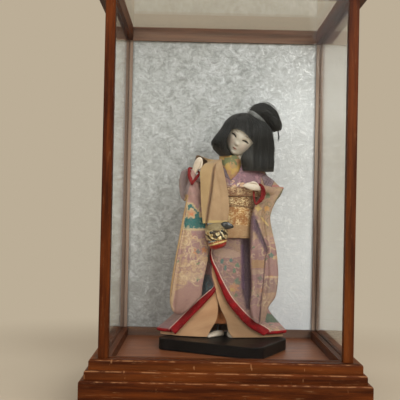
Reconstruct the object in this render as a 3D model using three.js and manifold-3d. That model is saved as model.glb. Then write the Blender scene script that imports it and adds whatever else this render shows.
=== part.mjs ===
// A dressed doll on a black plinth inside a glazed wooden display case.
// Millimetres, +Z up. The case's front faces -Y and the origin is the middle of the base's underside.

import * as THREE from 'three';
import { mergeVertices } from 'three/addons/utils/BufferGeometryUtils.js';
import Module from 'manifold-3d';

const wasm = await Module();
wasm.setup();

// Frame of the case
const CASE_WIDTH = 300; // over the posts
const CASE_DEPTH = 264; // over the posts
const OPEN_HEIGHT = 429; // base top to the underside of the top rails
const POST = 12;
const POST_EDGE_ROUND = 1.5;
const RAIL_HEIGHT = 20;

// Panes, back board and the grooves that hold them
const GLASS = 2;
const GLASS_PLAY = 0.3;
const GROOVE_DEPTH = 4;
const RIM_GROOVE_DEPTH = 3;
const FRONT_GROOVE_IN = 2.75; // front face of the post to the groove
const SIDE_GROOVE_IN = 4.75; // outer face of the post to the groove
const BACK_GROOVE_IN = 3; // back face of the post to the groove
const BACK_BOARD = 4;
const PAPER = 0.5;
const BACK_PLAY = 0.25;
const SLOT_WALL_PLAY = 0.25; // front rail to the pane's groove

// Base
const BASE_BODY_HEIGHT = 46;
const MIDDLE_STEP_HEIGHT = 11;
const TOP_STEP_HEIGHT = 12;
const BODY_OVERHANG = 19.5; // all overhangs are beyond the posts' outer faces
const MIDDLE_OVERHANG = 14;
const TOP_OVERHANG = 9.5;
const BASE_BOARD = 16;
const RIM_INSET = 2; // rim's inner edge past the posts' inner faces
const FLOOR_BOARD = 6;
const FLOOR_REBATE = 8;
const FLOOR_PLAY = 0.5;
const STEP_ROUND = 3;
const ROUND_STEPS = 4;

// Cornice
const CORNICE_OVERHANG = 15;
const CORNICE_FOOT = 2; // rail underside to the bottom of the cornice
const CORNICE_COVE = 5;
const CORNICE_FILLET = 4; // flat soffit outside the cove
const CORNICE_FACE = 11;
const CORNICE_CAP_OVERHANG = 9.5;
const CORNICE_LIP = 3; // cornice top above the rails, round the top pane
const TOP_GLASS_PLAY = 0.5;

// Doll's place and plinth
const DOLL_X = 1.5;
const DOLL_Y = 13.5;
const PLINTH_TURN = -27; // degrees
const PLINTH_WIDTH = 152;
const PLINTH_DEPTH = 106;
const PLINTH_HEIGHT = 15;
const DRAWN_PLINTH = 15; // plinth height that the figure's heights below are drawn over
const PLINTH_CORNER = 16;
const PLINTH_BEVEL = 1;
const PLINTH_BEVEL_STEPS = 2;
const PLINTH_CORNER_STEPS = 5;
const SEAT_GAP = 0.3; // between pieces that rest on or are cut by each other

// Cloth thicknesses
const ROBE_CLOTH = 2;
const HEM_PAD = 3.8;
const LINING_CLOTH = 2;
const LINING_GAP = 1.7; // between the hem padding and the under-robe
const LINING_INSET = HEM_PAD / 2 + LINING_GAP; // middle of the robe's cloth to the under-robe's outside
const OBI_CLOTH = 3.4;
const TAN_CLOTH = 1.8;

// Wires inside the doll
const LEG_WIRE = 1.4; // radius
const ARM_WIRE = 1.8; // radius

// Facets round each kind of body
const WIRE_SIDES = 8;
const LIMB_SIDES = 12;
const THUMB_SIDES = 8;
const HEAD_SIDES = 24;
const HAIR_SIDES = 24;
const BUN_SIDES = 16;
const RIBBON_STEPS = 20;
const BODICE_SIDES = 24;
const COLLAR_SIDES = 20;
const OBI_SIDES = 24;
const BOW_SIDES = 16;
const ROBE_COLUMNS = 36;
const HEM_COLUMNS = 16;
const LINING_COLUMNS = 28;
const SLEEVE_SIDES = 28;
const UPPER_SLEEVE_SIDES = 16;
const CUFF_STEPS = 24;
const CLOTH_COLUMNS = 12;
const MASK_SIDES = 20;
const EAR_SIDES = 10;
const FEATURE_SIDES = 8;

const BASE_TOP = BASE_BODY_HEIGHT + MIDDLE_STEP_HEIGHT + TOP_STEP_HEIGHT;
const FLOOR_TOP = BASE_BODY_HEIGHT + MIDDLE_STEP_HEIGHT;
const RAIL_BOTTOM = BASE_TOP + OPEN_HEIGHT;
const RAIL_TOP = RAIL_BOTTOM + RAIL_HEIGHT;
const CORNICE_TOP = RAIL_TOP + CORNICE_LIP;
const GLASS_GROOVE = GLASS + 2 * GLASS_PLAY;
const BACK_GROOVE = BACK_BOARD + PAPER + 2 * BACK_PLAY;
const HALF_WIDTH = CASE_WIDTH / 2;
const HALF_DEPTH = CASE_DEPTH / 2;

// Solids from point rows

const STEEP = 0.9; // rise of a path past which its half height lies along Y
const deg = THREE.MathUtils.degToRad;

function point(x, y, z) {
  return new THREE.Vector3(x, y, z);
}

function signedVolume(points, triangles) {
  let sum = 0;
  const cross = new THREE.Vector3();
  for (let i = 0; i < triangles.length; i += 3) {
    const [a, b, c] = [points[triangles[i]], points[triangles[i + 1]], points[triangles[i + 2]]];
    sum += a.dot(cross.crossVectors(b, c));
  }
  return sum / 6;
}

function closedGeometry(points, triangles) {
  const order = [...triangles];
  if (signedVolume(points, order) < 0) order.reverse();
  const geometry = new THREE.BufferGeometry();
  const flat = points.flatMap((p) => [p.x, p.y, p.z]);
  geometry.setAttribute('position', new THREE.Float32BufferAttribute(flat, 3));
  geometry.setIndex(order);
  geometry.computeVertexNormals();
  return geometry;
}

function pushQuad(triangles, a, b, c, d) {
  triangles.push(a, b, c, a, c, d);
}

// A body through rings of equal point count, with a fan over each end.
function loft(rings) {
  const count = rings[0].length;
  const points = rings.flat();
  const triangles = [];
  for (let i = 0; i + 1 < rings.length; i += 1) {
    for (let j = 0; j < count; j += 1) {
      const next = (j + 1) % count;
      const low = i * count;
      pushQuad(triangles, low + j, low + next, low + count + next, low + count + j);
    }
  }
  const ends = [[rings[0], 0, true], [rings.at(-1), (rings.length - 1) * count, false]];
  for (const [ring, start, reversed] of ends) {
    const middle = new THREE.Vector3();
    ring.forEach((p) => middle.add(p));
    const hub = points.push(middle.divideScalar(count)) - 1;
    for (let j = 0; j < count; j += 1) {
      const pair = [start + j, start + ((j + 1) % count)];
      if (reversed) pair.reverse();
      triangles.push(hub, ...pair);
    }
  }
  return closedGeometry(points, triangles);
}

// A thick sheet between two matching grids of points; `wrap` joins its last column to its first.
function sheet(outer, inner, wrap = false) {
  const rows = outer.length;
  const cols = outer[0].length;
  const points = [...outer.flat(), ...inner.flat()];
  const back = rows * cols;
  const triangles = [];
  const at = (i, j) => i * cols + (j % cols);
  const spans = wrap ? cols : cols - 1;
  for (let j = 0; j < spans; j += 1) {
    for (let i = 0; i + 1 < rows; i += 1) {
      const [a, b, c, d] = [at(i, j), at(i, j + 1), at(i + 1, j + 1), at(i + 1, j)];
      pushQuad(triangles, a, b, c, d);
      pushQuad(triangles, back + a, back + d, back + c, back + b);
    }
    const [first, second] = [at(0, j), at(0, j + 1)];
    pushQuad(triangles, second, first, back + first, back + second);
    const [third, fourth] = [at(rows - 1, j), at(rows - 1, j + 1)];
    pushQuad(triangles, third, fourth, back + fourth, back + third);
  }
  for (let i = 0; !wrap && i + 1 < rows; i += 1) {
    const [a, b] = [at(i, 0), at(i + 1, 0)];
    pushQuad(triangles, a, b, back + b, back + a);
    const [c, d] = [at(i, cols - 1), at(i + 1, cols - 1)];
    pushQuad(triangles, d, c, back + c, back + d);
  }
  return closedGeometry(points, triangles);
}

// An oval level ring; angle 0 is the front (-Y) and 90 degrees is +X.
function ovalPoint(cx, cy, z, halfWidth, front, back, angle) {
  const depth = Math.cos(angle) > 0 ? front : back;
  return point(cx + halfWidth * Math.sin(angle), cy - depth * Math.cos(angle), z);
}

function ovalRing(cx, cy, z, halfWidth, front, back, count) {
  const turn = (2 * Math.PI) / count;
  return Array.from({ length: count }, (_, k) => ovalPoint(cx, cy, z, halfWidth, front, back, k * turn));
}

// A body round a path: stations are [x, y, z, half width, half height]; `upright` sets which way is up.
function limb(stations, count, grow = 0, upright = null) {
  const centres = stations.map(([x, y, z]) => point(x, y, z));
  const last = centres.length - 1;
  const rings = stations.map(([, , , width, height], i) => {
    const ahead = centres[Math.min(i + 1, last)].clone().sub(centres[Math.max(i - 1, 0)]).normalize();
    const level = upright ?? (Math.abs(ahead.z) > STEEP ? point(0, -1, 0) : point(0, 0, 1));
    const side = new THREE.Vector3().crossVectors(ahead, level).normalize();
    const up = new THREE.Vector3().crossVectors(side, ahead);
    const end = (i === 0 ? -1 : 0) + (i === last ? 1 : 0);
    const middle = centres[i].clone().addScaledVector(ahead, end * grow);
    return Array.from({ length: count }, (_, k) => {
      const angle = (2 * Math.PI * k) / count;
      return middle.clone()
        .addScaledVector(side, (width + grow) * Math.cos(angle))
        .addScaledVector(up, (height + grow) * Math.sin(angle));
    });
  });
  return loft(rings);
}

// A closed tube along a loop of points.
function loopTube(loop, radius, sides) {
  const middle = loop.reduce((sum, p) => sum.add(p), new THREE.Vector3()).divideScalar(loop.length);
  const normal = new THREE.Vector3();
  loop.forEach((p, i) => {
    const next = loop[(i + 1) % loop.length];
    normal.add(new THREE.Vector3().crossVectors(p.clone().sub(middle), next.clone().sub(middle)));
  });
  normal.normalize();
  const points = [];
  const triangles = [];
  loop.forEach((p, i) => {
    const ahead = loop[(i + 1) % loop.length].clone().sub(loop.at(i - 1)).normalize();
    const out = new THREE.Vector3().crossVectors(ahead, normal).normalize();
    const up = new THREE.Vector3().crossVectors(out, ahead);
    for (let k = 0; k < sides; k += 1) {
      const angle = (2 * Math.PI * k) / sides;
      const rim = p.clone().addScaledVector(out, radius * Math.cos(angle));
      points.push(rim.addScaledVector(up, radius * Math.sin(angle)));
      const [low, high] = [i * sides, ((i + 1) % loop.length) * sides];
      pushQuad(triangles, low + k, low + ((k + 1) % sides), high + ((k + 1) % sides), high + k);
    }
  });
  return closedGeometry(points, triangles);
}

// A level prism from an outline of [x, y] pairs.
function prism(outline, bottom, top) {
  const shape = new THREE.Shape(outline.map(([x, y]) => new THREE.Vector2(x, y)));
  const geometry = new THREE.ExtrudeGeometry(shape, { depth: top - bottom, bevelEnabled: false });
  return geometry.translate(0, 0, bottom);
}

function box(x0, x1, y0, y1, z0, z1) {
  const geometry = new THREE.BoxGeometry(x1 - x0, y1 - y0, z1 - z0);
  return geometry.translate((x0 + x1) / 2, (y0 + y1) / 2, (z0 + z1) / 2);
}

// Cuts and joins

function toSolid(geometry) {
  const bare = new THREE.BufferGeometry();
  bare.setAttribute('position', geometry.getAttribute('position'));
  bare.setIndex(geometry.getIndex());
  const merged = mergeVertices(bare, 1e-4);
  return new wasm.Manifold(new wasm.Mesh({
    numProp: 3,
    vertProperties: new Float32Array(merged.getAttribute('position').array),
    triVerts: new Uint32Array(merged.getIndex().array),
  }));
}

function toGeometry(solid) {
  const mesh = solid.getMesh();
  const geometry = new THREE.BufferGeometry();
  geometry.setAttribute('position', new THREE.Float32BufferAttribute(mesh.vertProperties, 3));
  geometry.setIndex([...mesh.triVerts]);
  geometry.computeVertexNormals();
  return geometry;
}

function cut(geometry, ...tools) {
  return toGeometry(tools.reduce((solid, tool) => solid.subtract(toSolid(tool)), toSolid(geometry)));
}

function join(geometry, ...others) {
  return toGeometry(others.reduce((solid, other) => solid.add(toSolid(other)), toSolid(geometry)));
}

// Finishes

function finish(color, roughness, extra = {}) {
  return new THREE.MeshStandardMaterial({ color, roughness, metalness: 0, ...extra });
}

const WOOD = finish(0x6f3c1e, 0.5);
const FLOOR_WOOD = finish(0x7a4a2e, 0.6);
const PANE = finish(0xe8f0ee, 0.05, { transparent: true, opacity: 0.2 });
const BOARD = finish(0x8a6a48, 0.8);
const SILVER = finish(0xb0b0aa, 0.35, { metalness: 0.6 });
const LACQUER = finish(0x201c1e, 0.3);
const POWDER_WHITE = finish(0xe4d9c8, 0.45);
const WIRE = finish(0x6a6a6a, 0.4, { metalness: 0.8 });
const STUFFING = finish(0xcdbfa2, 0.95);
const HAIR = finish(0x24221f, 0.6);
const RIBBON = finish(0x8d938f, 0.5);
const COLLAR = finish(0xc79a4f, 0.8);
const BROCADE = finish(0xa67f83, 0.8);
const RED_SILK = finish(0x8f1d25, 0.6);
const TAN = finish(0xb98f62, 0.85);
const UNDERSKIRT = finish(0x9a5a35, 0.85);
const GOLD_BROCADE = finish(0xb9803f, 0.5, { metalness: 0.3 });
const MASK_GOLD = finish(0xb9a06a, 0.4, { metalness: 0.3 });
const MASK_RED = finish(0x9a2c22, 0.4);
const MASK_BLACK = finish(0x1c1c1c, 0.3);

const showcase = new THREE.Group();
const displayCase = new THREE.Group();
const doll = new THREE.Group();
const figure = new THREE.Group();
showcase.add(displayCase, doll);
doll.add(figure);

function addMesh(group, name, geometry, material) {
  const mesh = new THREE.Mesh(geometry, material);
  mesh.name = name;
  group.add(mesh);
  return mesh;
}

// Case: strips that run along each side and meet in mitres

const SIDE_PLACE = {
  front: (along, out, z) => point(along, -(HALF_DEPTH + out), z),
  right: (along, out, z) => point(HALF_WIDTH + out, along, z),
  back: (along, out, z) => point(-along, HALF_DEPTH + out, z),
  left: (along, out, z) => point(-(HALF_WIDTH + out), -along, z),
};
const SIDE_HALF_RUN = { front: HALF_WIDTH, right: HALF_DEPTH, back: HALF_WIDTH, left: HALF_DEPTH };
const SIDE_NAMES = Object.keys(SIDE_PLACE);

// A profile of [out, z] pairs swept along one side, each end cut in the mitre plane.
function mitredStrip(side, profile) {
  const place = SIDE_PLACE[side];
  const half = SIDE_HALF_RUN[side];
  const count = profile.length;
  const start = profile.map(([out, z]) => place(-(half + out), out, z));
  const end = profile.map(([out, z]) => place(half + out, out, z));
  const points = [...start, ...end];
  const triangles = [];
  for (let i = 0; i < count; i += 1) {
    const j = (i + 1) % count;
    pushQuad(triangles, i, count + i, count + j, j);
  }
  const flat = profile.map(([out, z]) => new THREE.Vector2(out, z));
  for (const [a, b, c] of THREE.ShapeUtils.triangulateShape(flat, [])) {
    triangles.push(a, b, c, count + c, count + b, count + a);
  }
  return closedGeometry(points, triangles);
}

// Quarter-round points from [out + radius, z] over to [out, z + radius] about [out, z].
function quarterRound(out, z, radius) {
  return Array.from({ length: ROUND_STEPS + 1 }, (_, k) => {
    const angle = (Math.PI / 2) * (k / ROUND_STEPS);
    return [out + radius * Math.cos(angle), z + radius * Math.sin(angle)];
  });
}

function baseBoardProfile() {
  const inner = BODY_OVERHANG - BASE_BOARD;
  return [
    [inner, 0],
    [BODY_OVERHANG, 0],
    ...quarterRound(BODY_OVERHANG - STEP_ROUND, BASE_BODY_HEIGHT - STEP_ROUND, STEP_ROUND),
    [inner, BASE_BODY_HEIGHT],
  ];
}

// Two-step moulding: a groove in its top holds a pane, and a rebate inside holds the floor.
function stepMouldingProfile(grooveIn, grooveWidth) {
  const inner = -(POST + RIM_INSET);
  const rebate = inner + FLOOR_REBATE;
  const ledge = FLOOR_TOP - FLOOR_BOARD;
  return [
    [inner, BASE_BODY_HEIGHT],
    [MIDDLE_OVERHANG, BASE_BODY_HEIGHT],
    ...quarterRound(MIDDLE_OVERHANG - STEP_ROUND, FLOOR_TOP - STEP_ROUND, STEP_ROUND),
    [TOP_OVERHANG, FLOOR_TOP],
    ...quarterRound(TOP_OVERHANG - STEP_ROUND, BASE_TOP - STEP_ROUND, STEP_ROUND),
    [-grooveIn, BASE_TOP],
    [-grooveIn, BASE_TOP - RIM_GROOVE_DEPTH],
    [-(grooveIn + grooveWidth), BASE_TOP - RIM_GROOVE_DEPTH],
    [-(grooveIn + grooveWidth), BASE_TOP],
    [inner, BASE_TOP],
    [inner, FLOOR_TOP],
    [rebate, FLOOR_TOP],
    [rebate, ledge],
    [inner, ledge],
  ];
}

function corniceProfile() {
  const foot = RAIL_BOTTOM + CORNICE_FOOT;
  const soffit = foot + CORNICE_COVE;
  const coveWidth = CORNICE_OVERHANG - CORNICE_FILLET;
  const cove = Array.from({ length: ROUND_STEPS + 1 }, (_, k) => {
    const angle = (Math.PI / 2) * (k / ROUND_STEPS);
    return [coveWidth * (1 - Math.cos(angle)), foot + CORNICE_COVE * Math.sin(angle)];
  });
  const faceTop = soffit + CORNICE_FACE;
  return [
    ...cove,
    [CORNICE_OVERHANG, soffit],
    [CORNICE_OVERHANG, faceTop - STEP_ROUND],
    ...quarterRound(CORNICE_OVERHANG - STEP_ROUND, faceTop - STEP_ROUND, STEP_ROUND).slice(1),
    [CORNICE_CAP_OVERHANG, faceTop],
    [CORNICE_CAP_OVERHANG, CORNICE_TOP],
    [0, CORNICE_TOP],
  ];
}

const SIDE_GROOVES = {
  front: [FRONT_GROOVE_IN, GLASS_GROOVE],
  right: [SIDE_GROOVE_IN, GLASS_GROOVE],
  back: [BACK_GROOVE_IN, BACK_GROOVE],
  left: [SIDE_GROOVE_IN, GLASS_GROOVE],
};

for (const side of SIDE_NAMES) {
  addMesh(displayCase, `base_board_${side}`, mitredStrip(side, baseBoardProfile()), WOOD);
  const steps = stepMouldingProfile(...SIDE_GROOVES[side]);
  addMesh(displayCase, `step_moulding_${side}`, mitredStrip(side, steps), WOOD);
  addMesh(displayCase, `cornice_${side}`, mitredStrip(side, corniceProfile()), WOOD);
}

const floorReach = POST + RIM_INSET - FLOOR_REBATE + FLOOR_PLAY;
addMesh(displayCase, 'floor_board', box(
  -(HALF_WIDTH - floorReach), HALF_WIDTH - floorReach,
  -(HALF_DEPTH - floorReach), HALF_DEPTH - floorReach,
  FLOOR_TOP - FLOOR_BOARD, FLOOR_TOP,
), FLOOR_WOOD);

// Case: posts, each with a groove towards its neighbour along X and one along Y

// Plan of a post from its outer corner: u runs inwards along X and v inwards along Y.
function postPlan([acrossIn, acrossWidth], [sideIn, sideWidth]) {
  const corner = quarterRound(0, 0, POST_EDGE_ROUND)
    .map(([a, b]) => [POST_EDGE_ROUND - a, POST_EDGE_ROUND - b]);
  const floor = POST - GROOVE_DEPTH;
  return [
    ...corner,
    [POST, 0],
    [POST, acrossIn],
    [floor, acrossIn],
    [floor, acrossIn + acrossWidth],
    [POST, acrossIn + acrossWidth],
    [POST, POST],
    [sideIn + sideWidth, POST],
    [sideIn + sideWidth, floor],
    [sideIn, floor],
    [sideIn, POST],
    [0, POST],
  ];
}

for (const [across, signY] of [['front', -1], ['back', 1]]) {
  for (const [hand, signX] of [['left', -1], ['right', 1]]) {
    const outline = postPlan(SIDE_GROOVES[across], SIDE_GROOVES[hand])
      .map(([u, v]) => [signX * (HALF_WIDTH - u), signY * (HALF_DEPTH - v)]);
    addMesh(displayCase, `post_${across}_${hand}`, prism(outline, BASE_TOP, RAIL_TOP), WOOD);
  }
}

// Case: top rails between the posts, grooved underneath for the pane or board below

function groovedRail(length, grooveIn, grooveWidth) {
  const shape = new THREE.Shape([
    [0, RAIL_BOTTOM], [grooveIn, RAIL_BOTTOM],
    [grooveIn, RAIL_BOTTOM + GROOVE_DEPTH], [grooveIn + grooveWidth, RAIL_BOTTOM + GROOVE_DEPTH],
    [grooveIn + grooveWidth, RAIL_BOTTOM], [POST, RAIL_BOTTOM],
    [POST, RAIL_TOP], [0, RAIL_TOP],
  ].map(([u, z]) => new THREE.Vector2(u, z)));
  return new THREE.ExtrudeGeometry(shape, { depth: length, bevelEnabled: false });
}

// The extruded section's axes (inwards, up, along) become the case's axes for each rail.
function turnRail(geometry, inward, along, origin) {
  const basis = new THREE.Matrix4().makeBasis(inward, point(0, 0, 1), along);
  return geometry.applyMatrix4(basis.setPosition(origin));
}

const sideRun = CASE_DEPTH - 2 * POST;
const acrossRun = CASE_WIDTH - 2 * POST;
addMesh(displayCase, 'top_rail_left', turnRail(
  groovedRail(sideRun, ...SIDE_GROOVES.left),
  point(1, 0, 0), point(0, -1, 0), point(-HALF_WIDTH, sideRun / 2, 0),
), WOOD);
addMesh(displayCase, 'top_rail_right', turnRail(
  groovedRail(sideRun, ...SIDE_GROOVES.right),
  point(-1, 0, 0), point(0, 1, 0), point(HALF_WIDTH, -sideRun / 2, 0),
), WOOD);
addMesh(displayCase, 'top_rail_back', turnRail(
  groovedRail(acrossRun, ...SIDE_GROOVES.back),
  point(0, -1, 0), point(-1, 0, 0), point(acrossRun / 2, HALF_DEPTH, 0),
), WOOD);

// The front rail lies behind the pane, which passes up between it and the cornice.
const frontRailFace = -HALF_DEPTH + FRONT_GROOVE_IN + GLASS_GROOVE + SLOT_WALL_PLAY;
addMesh(displayCase, 'top_rail_front', box(
  -acrossRun / 2, acrossRun / 2, frontRailFace, -HALF_DEPTH + POST, RAIL_BOTTOM, RAIL_TOP,
), WOOD);

// Case: panes, back board and its paper

const grooveFloorX = HALF_WIDTH - POST + GROOVE_DEPTH - GLASS_PLAY;
const grooveFloorY = HALF_DEPTH - POST + GROOVE_DEPTH - GLASS_PLAY;
const paneFoot = BASE_TOP - RIM_GROOVE_DEPTH;
const paneHead = RAIL_BOTTOM + GROOVE_DEPTH - GLASS_PLAY;
const sidePaneIn = SIDE_GROOVE_IN + GLASS_PLAY;
const frontPaneFace = -HALF_DEPTH + FRONT_GROOVE_IN + GLASS_PLAY;
const backBoardFace = HALF_DEPTH - BACK_GROOVE_IN - BACK_PLAY - BACK_BOARD;

for (const [hand, sign] of [['left', -1], ['right', 1]]) {
  const [outside, inside] = [HALF_WIDTH - sidePaneIn, HALF_WIDTH - sidePaneIn - GLASS];
  const faces = [sign * outside, sign * inside].sort((a, b) => a - b);
  addMesh(displayCase, `${hand}_glass`, box(...faces, -grooveFloorY, grooveFloorY, paneFoot, paneHead), PANE);
}
addMesh(displayCase, 'top_glass', box(
  -(HALF_WIDTH - TOP_GLASS_PLAY), HALF_WIDTH - TOP_GLASS_PLAY,
  frontRailFace + TOP_GLASS_PLAY, HALF_DEPTH - TOP_GLASS_PLAY,
  RAIL_TOP, RAIL_TOP + GLASS,
), PANE);
addMesh(displayCase, 'back_board', box(
  -grooveFloorX, grooveFloorX, backBoardFace, backBoardFace + BACK_BOARD, paneFoot, paneHead,
), BOARD);
addMesh(displayCase, 'silver_paper', box(
  -grooveFloorX, grooveFloorX, backBoardFace - PAPER, backBoardFace, paneFoot, paneHead,
), SILVER);
addMesh(displayCase, 'front_glass', box(
  -grooveFloorX, grooveFloorX, frontPaneFace, frontPaneFace + GLASS, paneFoot, CORNICE_TOP,
), PANE);

// Doll: heights below are above the floor of the case, with X and Y from the middle of the plinth

doll.position.set(DOLL_X, DOLL_Y, FLOOR_TOP + SEAT_GAP);
const figureLift = PLINTH_HEIGHT - DRAWN_PLINTH;
figure.position.z = figureLift;

// Value rows [z, ...values] read at any height between them.
function atHeight(rows, z) {
  const ordered = rows[0][0] < rows.at(-1)[0] ? rows : [...rows].reverse();
  const upper = ordered.findIndex((row) => row[0] >= z);
  if (upper === 0) return ordered[0].slice(1);
  if (upper < 0) return ordered.at(-1).slice(1);
  const [low, high] = [ordered[upper - 1], ordered[upper]];
  const share = (z - low[0]) / (high[0] - low[0]);
  return low.slice(1).map((value, k) => value + (high[k + 1] - value) * share);
}

// A body through oval rows [z, centre x, centre y, half width, front, back], grown on every side.
function ovalLoft(rows, count, grow = 0) {
  const ring = ([z, cx, cy, width, front, back], lift) => (
    ovalRing(cx, cy, z + lift, width + grow, front + grow, back + grow, count)
  );
  const upwards = Math.sign(rows.at(-1)[0] - rows[0][0]);
  const rings = rows.map((row) => ring(row, 0));
  if (grow > 0) {
    rings.unshift(ring(rows[0], -upwards * grow));
    rings.push(ring(rows.at(-1), upwards * grow));
  }
  return loft(rings);
}

// Doll: legs and feet, [x, y, z] of hip and foot
const RIGHT_LEG = [[2, 11, 132], [-9, 15.5, 4]];
const LEFT_LEG = [[18, 11, 132], [5.5, 16, 4]];
// Foot stations from heel to toe: [distance ahead of the leg, half width, half height]
const FOOT = [[-7, 2.5, 2.6], [-5, 5, 4.6], [3, 5, 4.6], [12, 6.2, 3.8], [20, 5.4, 3], [23, 2.6, 1.8]];
const RIGHT_SPLAY = 22; // degrees, toes outwards
const LEFT_SPLAY = 0;

function legWire(leg, grow = 0) {
  return limb(leg.map(([x, y, z]) => [x, y, z, LEG_WIRE, LEG_WIRE]), WIRE_SIDES, grow);
}

function foot(leg, splay) {
  const [x, y] = leg[1];
  const sole = DRAWN_PLINTH + SEAT_GAP;
  const stations = FOOT.map(([ahead, width, height]) => [
    x - ahead * Math.sin(deg(splay)), y - ahead * Math.cos(deg(splay)), sole + height, width, height,
  ]);
  return cut(limb(stations, LIMB_SIDES), legWire(leg, SEAT_GAP));
}

// Doll: body core, [z, centre x, centre y, half width, front, back]
const CORE = [
  [122, 10, 10, 17, 12, 12],
  [150, 13, 8, 19, 13, 13],
  [185, 14, 8, 19.5, 13.5, 13],
  [214, 14.5, 8, 25, 13, 12.5],
  [230, 14.5, 8.5, 30, 10, 11],
  [240, 14.5, 9, 22, 8, 9.5],
];
const RIGHT_ARM = [[-6, 9, 230], [-28, 5, 222.5], [-47, -4, 206], [-47, -10, 220], [-43.5, -13, 241]];
const LEFT_ARM = [[36, 9, 230], [53, 5, 224.5], [66, -2, 213], [60, -14, 215], [44, -23, 219]];

function armWire(arm, grow = 0) {
  return limb(arm.map(([x, y, z]) => [x, y, z, ARM_WIRE, ARM_WIRE]), WIRE_SIDES, grow);
}

// Doll: hands, stations from wrist to finger tips and along the thumb
const RIGHT_HAND = {
  palm: [
    [-44.4, -12.6, 236, 2.8, 2.6], [-43.9, -13.1, 240.5, 3.3, 3], [-42.8, -13.8, 245.5, 4.8, 3.6],
    [-41.6, -14.4, 250, 5.9, 3.8], [-40.6, -14.9, 255, 6.1, 3.7], [-39.9, -15.5, 259.6, 4.6, 3],
    [-39.6, -15.8, 262.4, 1.8, 1.5],
  ],
  thumb: [
    [-40, -14.8, 243, 1.8, 1.8], [-36.6, -18.2, 248.6, 1.9, 1.8], [-35.8, -18.8, 252.6, 1.8, 1.7],
    [-36.2, -18.8, 256, 1.3, 1.2], [-36.6, -18.7, 257.6, 0.6, 0.6],
  ],
  upright: point(0, -1, 0),
};
const LEFT_HAND = {
  palm: [
    [48, -21.2, 218.4, 2.6, 2.8], [43.5, -23.4, 219, 3, 4.4], [39, -25.2, 219.9, 3.3, 5.6],
    [34.5, -26.6, 220.6, 3.2, 5.7], [30, -27.9, 221, 2.8, 4.8], [26, -28.7, 221.1, 2.2, 3.3],
    [22.6, -29.4, 221.1, 1.1, 1.3],
  ],
  thumb: [
    [41, -26, 223, 1.4, 1.4], [37.5, -28, 225.4, 1.7, 1.6], [33.5, -29.6, 225.6, 1.5, 1.4],
    [30.6, -30.3, 224.9, 0.7, 0.7],
  ],
  upright: point(0, 0, 1),
};

function hand({ palm, thumb, upright }, arm, grow = 0) {
  const solid = join(limb(palm, LIMB_SIDES, grow), limb(thumb, THUMB_SIDES, grow, upright));
  return grow > 0 ? solid : cut(solid, armWire(arm, SEAT_GAP));
}

// Doll: head, rows in the head's own frame [z, centre y, half width, front, back], face towards -Y
const HEAD_ROWS = [
  [-25.6, -9.4, 3, 3, 3], [-23, -8.4, 8.8, 8, 8.4], [-19, -6.4, 13.2, 11.4, 12.4], [-13, -3.8, 17, 14.6, 16],
  [-6, -1.4, 19.8, 17.2, 19], [0, 0, 21, 18.6, 21], [6, 1.2, 21.2, 19.2, 22], [11, 1.8, 19.6, 17, 20],
  [16, 2, 16.2, 13, 17], [20, 2, 11.6, 9, 12.6], [23.6, 2, 2.6, 2.6, 2.8],
];
const HEAD_CENTRE = [22.8, -0.5, 289.2];
const HEAD_TILT = 31.5; // degrees, crown towards +X
const HEAD_TURN = -11; // degrees, face towards -X
const HEAD_NOD = 33; // degrees, face downwards
const NOSE_HEIGHT = 2.6; // off the cheek
const NOSE_Z = -6;
const NOSE_HALF_LENGTH = 4.5;
const NECK = [[14.5, 9, 232, 7, 6.5], [15, 8.5, 248, 7, 6.5], [19, 6, 268, 8, 8]];

function head(grow = 0) {
  const frame = new THREE.Matrix4()
    .makeRotationY(deg(HEAD_TILT))
    .multiply(new THREE.Matrix4().makeRotationZ(deg(HEAD_TURN)))
    .multiply(new THREE.Matrix4().makeRotationX(deg(HEAD_NOD)))
    .setPosition(...HEAD_CENTRE);
  const last = HEAD_ROWS.length - 1;
  const rings = HEAD_ROWS.map(([z, cy, width, front, back], i) => {
    const end = (i === 0 ? -1 : 0) + (i === last ? 1 : 0);
    const ring = ovalRing(0, cy, z + end * grow, width + grow, front + grow, back + grow, HEAD_SIDES);
    ring[0].y -= NOSE_HEIGHT * Math.exp(-(((z - NOSE_Z) / NOSE_HALF_LENGTH) ** 2));
    return ring;
  });
  return join(loft(rings).applyMatrix4(frame), limb(NECK, LIMB_SIDES, grow));
}

// Doll: hair, [z, centre x, centre y, half width, front, back]
const HAIR_ROWS = [
  [242, 44, 7, 17, 12, 19], [254, 36, 6, 29.5, 18, 25], [262, 28, 5, 37, 21, 28], [270, 24, 4, 41.2, 23, 30],
  [279, 21.8, 3, 42.6, 24.5, 31], [288, 23.5, 3, 39.5, 27, 31], [298, 26.5, 3, 33.5, 26, 29],
  [308, 27, 3, 26, 21.5, 24], [316, 25.5, 3, 16, 14, 16], [321.5, 24, 3, 6, 5, 6],
];
// Window left for the face and throat, [x, z] pairs seen from the front
const FACE_WINDOW = [
  [6.1, 296.9], [16.9, 294.9], [26.3, 287.6], [34.2, 278.9], [27.6, 270.3], [19, 258.3], [20.9, 249],
  [26, 234], [-10, 234], [-10, 250], [7, 263.2], [1, 271.7], [-0.1, 280.3], [4.1, 291.6],
];
const FACE_WINDOW_BACK = 2; // y where the window ends
const THROAT_WINDOW = [[-14, 263], [23, 263], [24, 250], [27, 236], [-14, 236]];
const THROAT_WINDOW_BACK = 19;
const WINDOW_FRONT = -60;

// A prism through the hair from the front to y = back.
function windowCut(outline, back) {
  const shape = new THREE.Shape(outline.map(([x, z]) => new THREE.Vector2(x, z)));
  const geometry = new THREE.ExtrudeGeometry(shape, { depth: back - WINDOW_FRONT, bevelEnabled: false });
  return geometry.rotateX(Math.PI / 2).translate(0, back, 0);
}

function hairMass(grow = 0) {
  return ovalLoft(HAIR_ROWS, HAIR_SIDES, grow);
}

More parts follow.
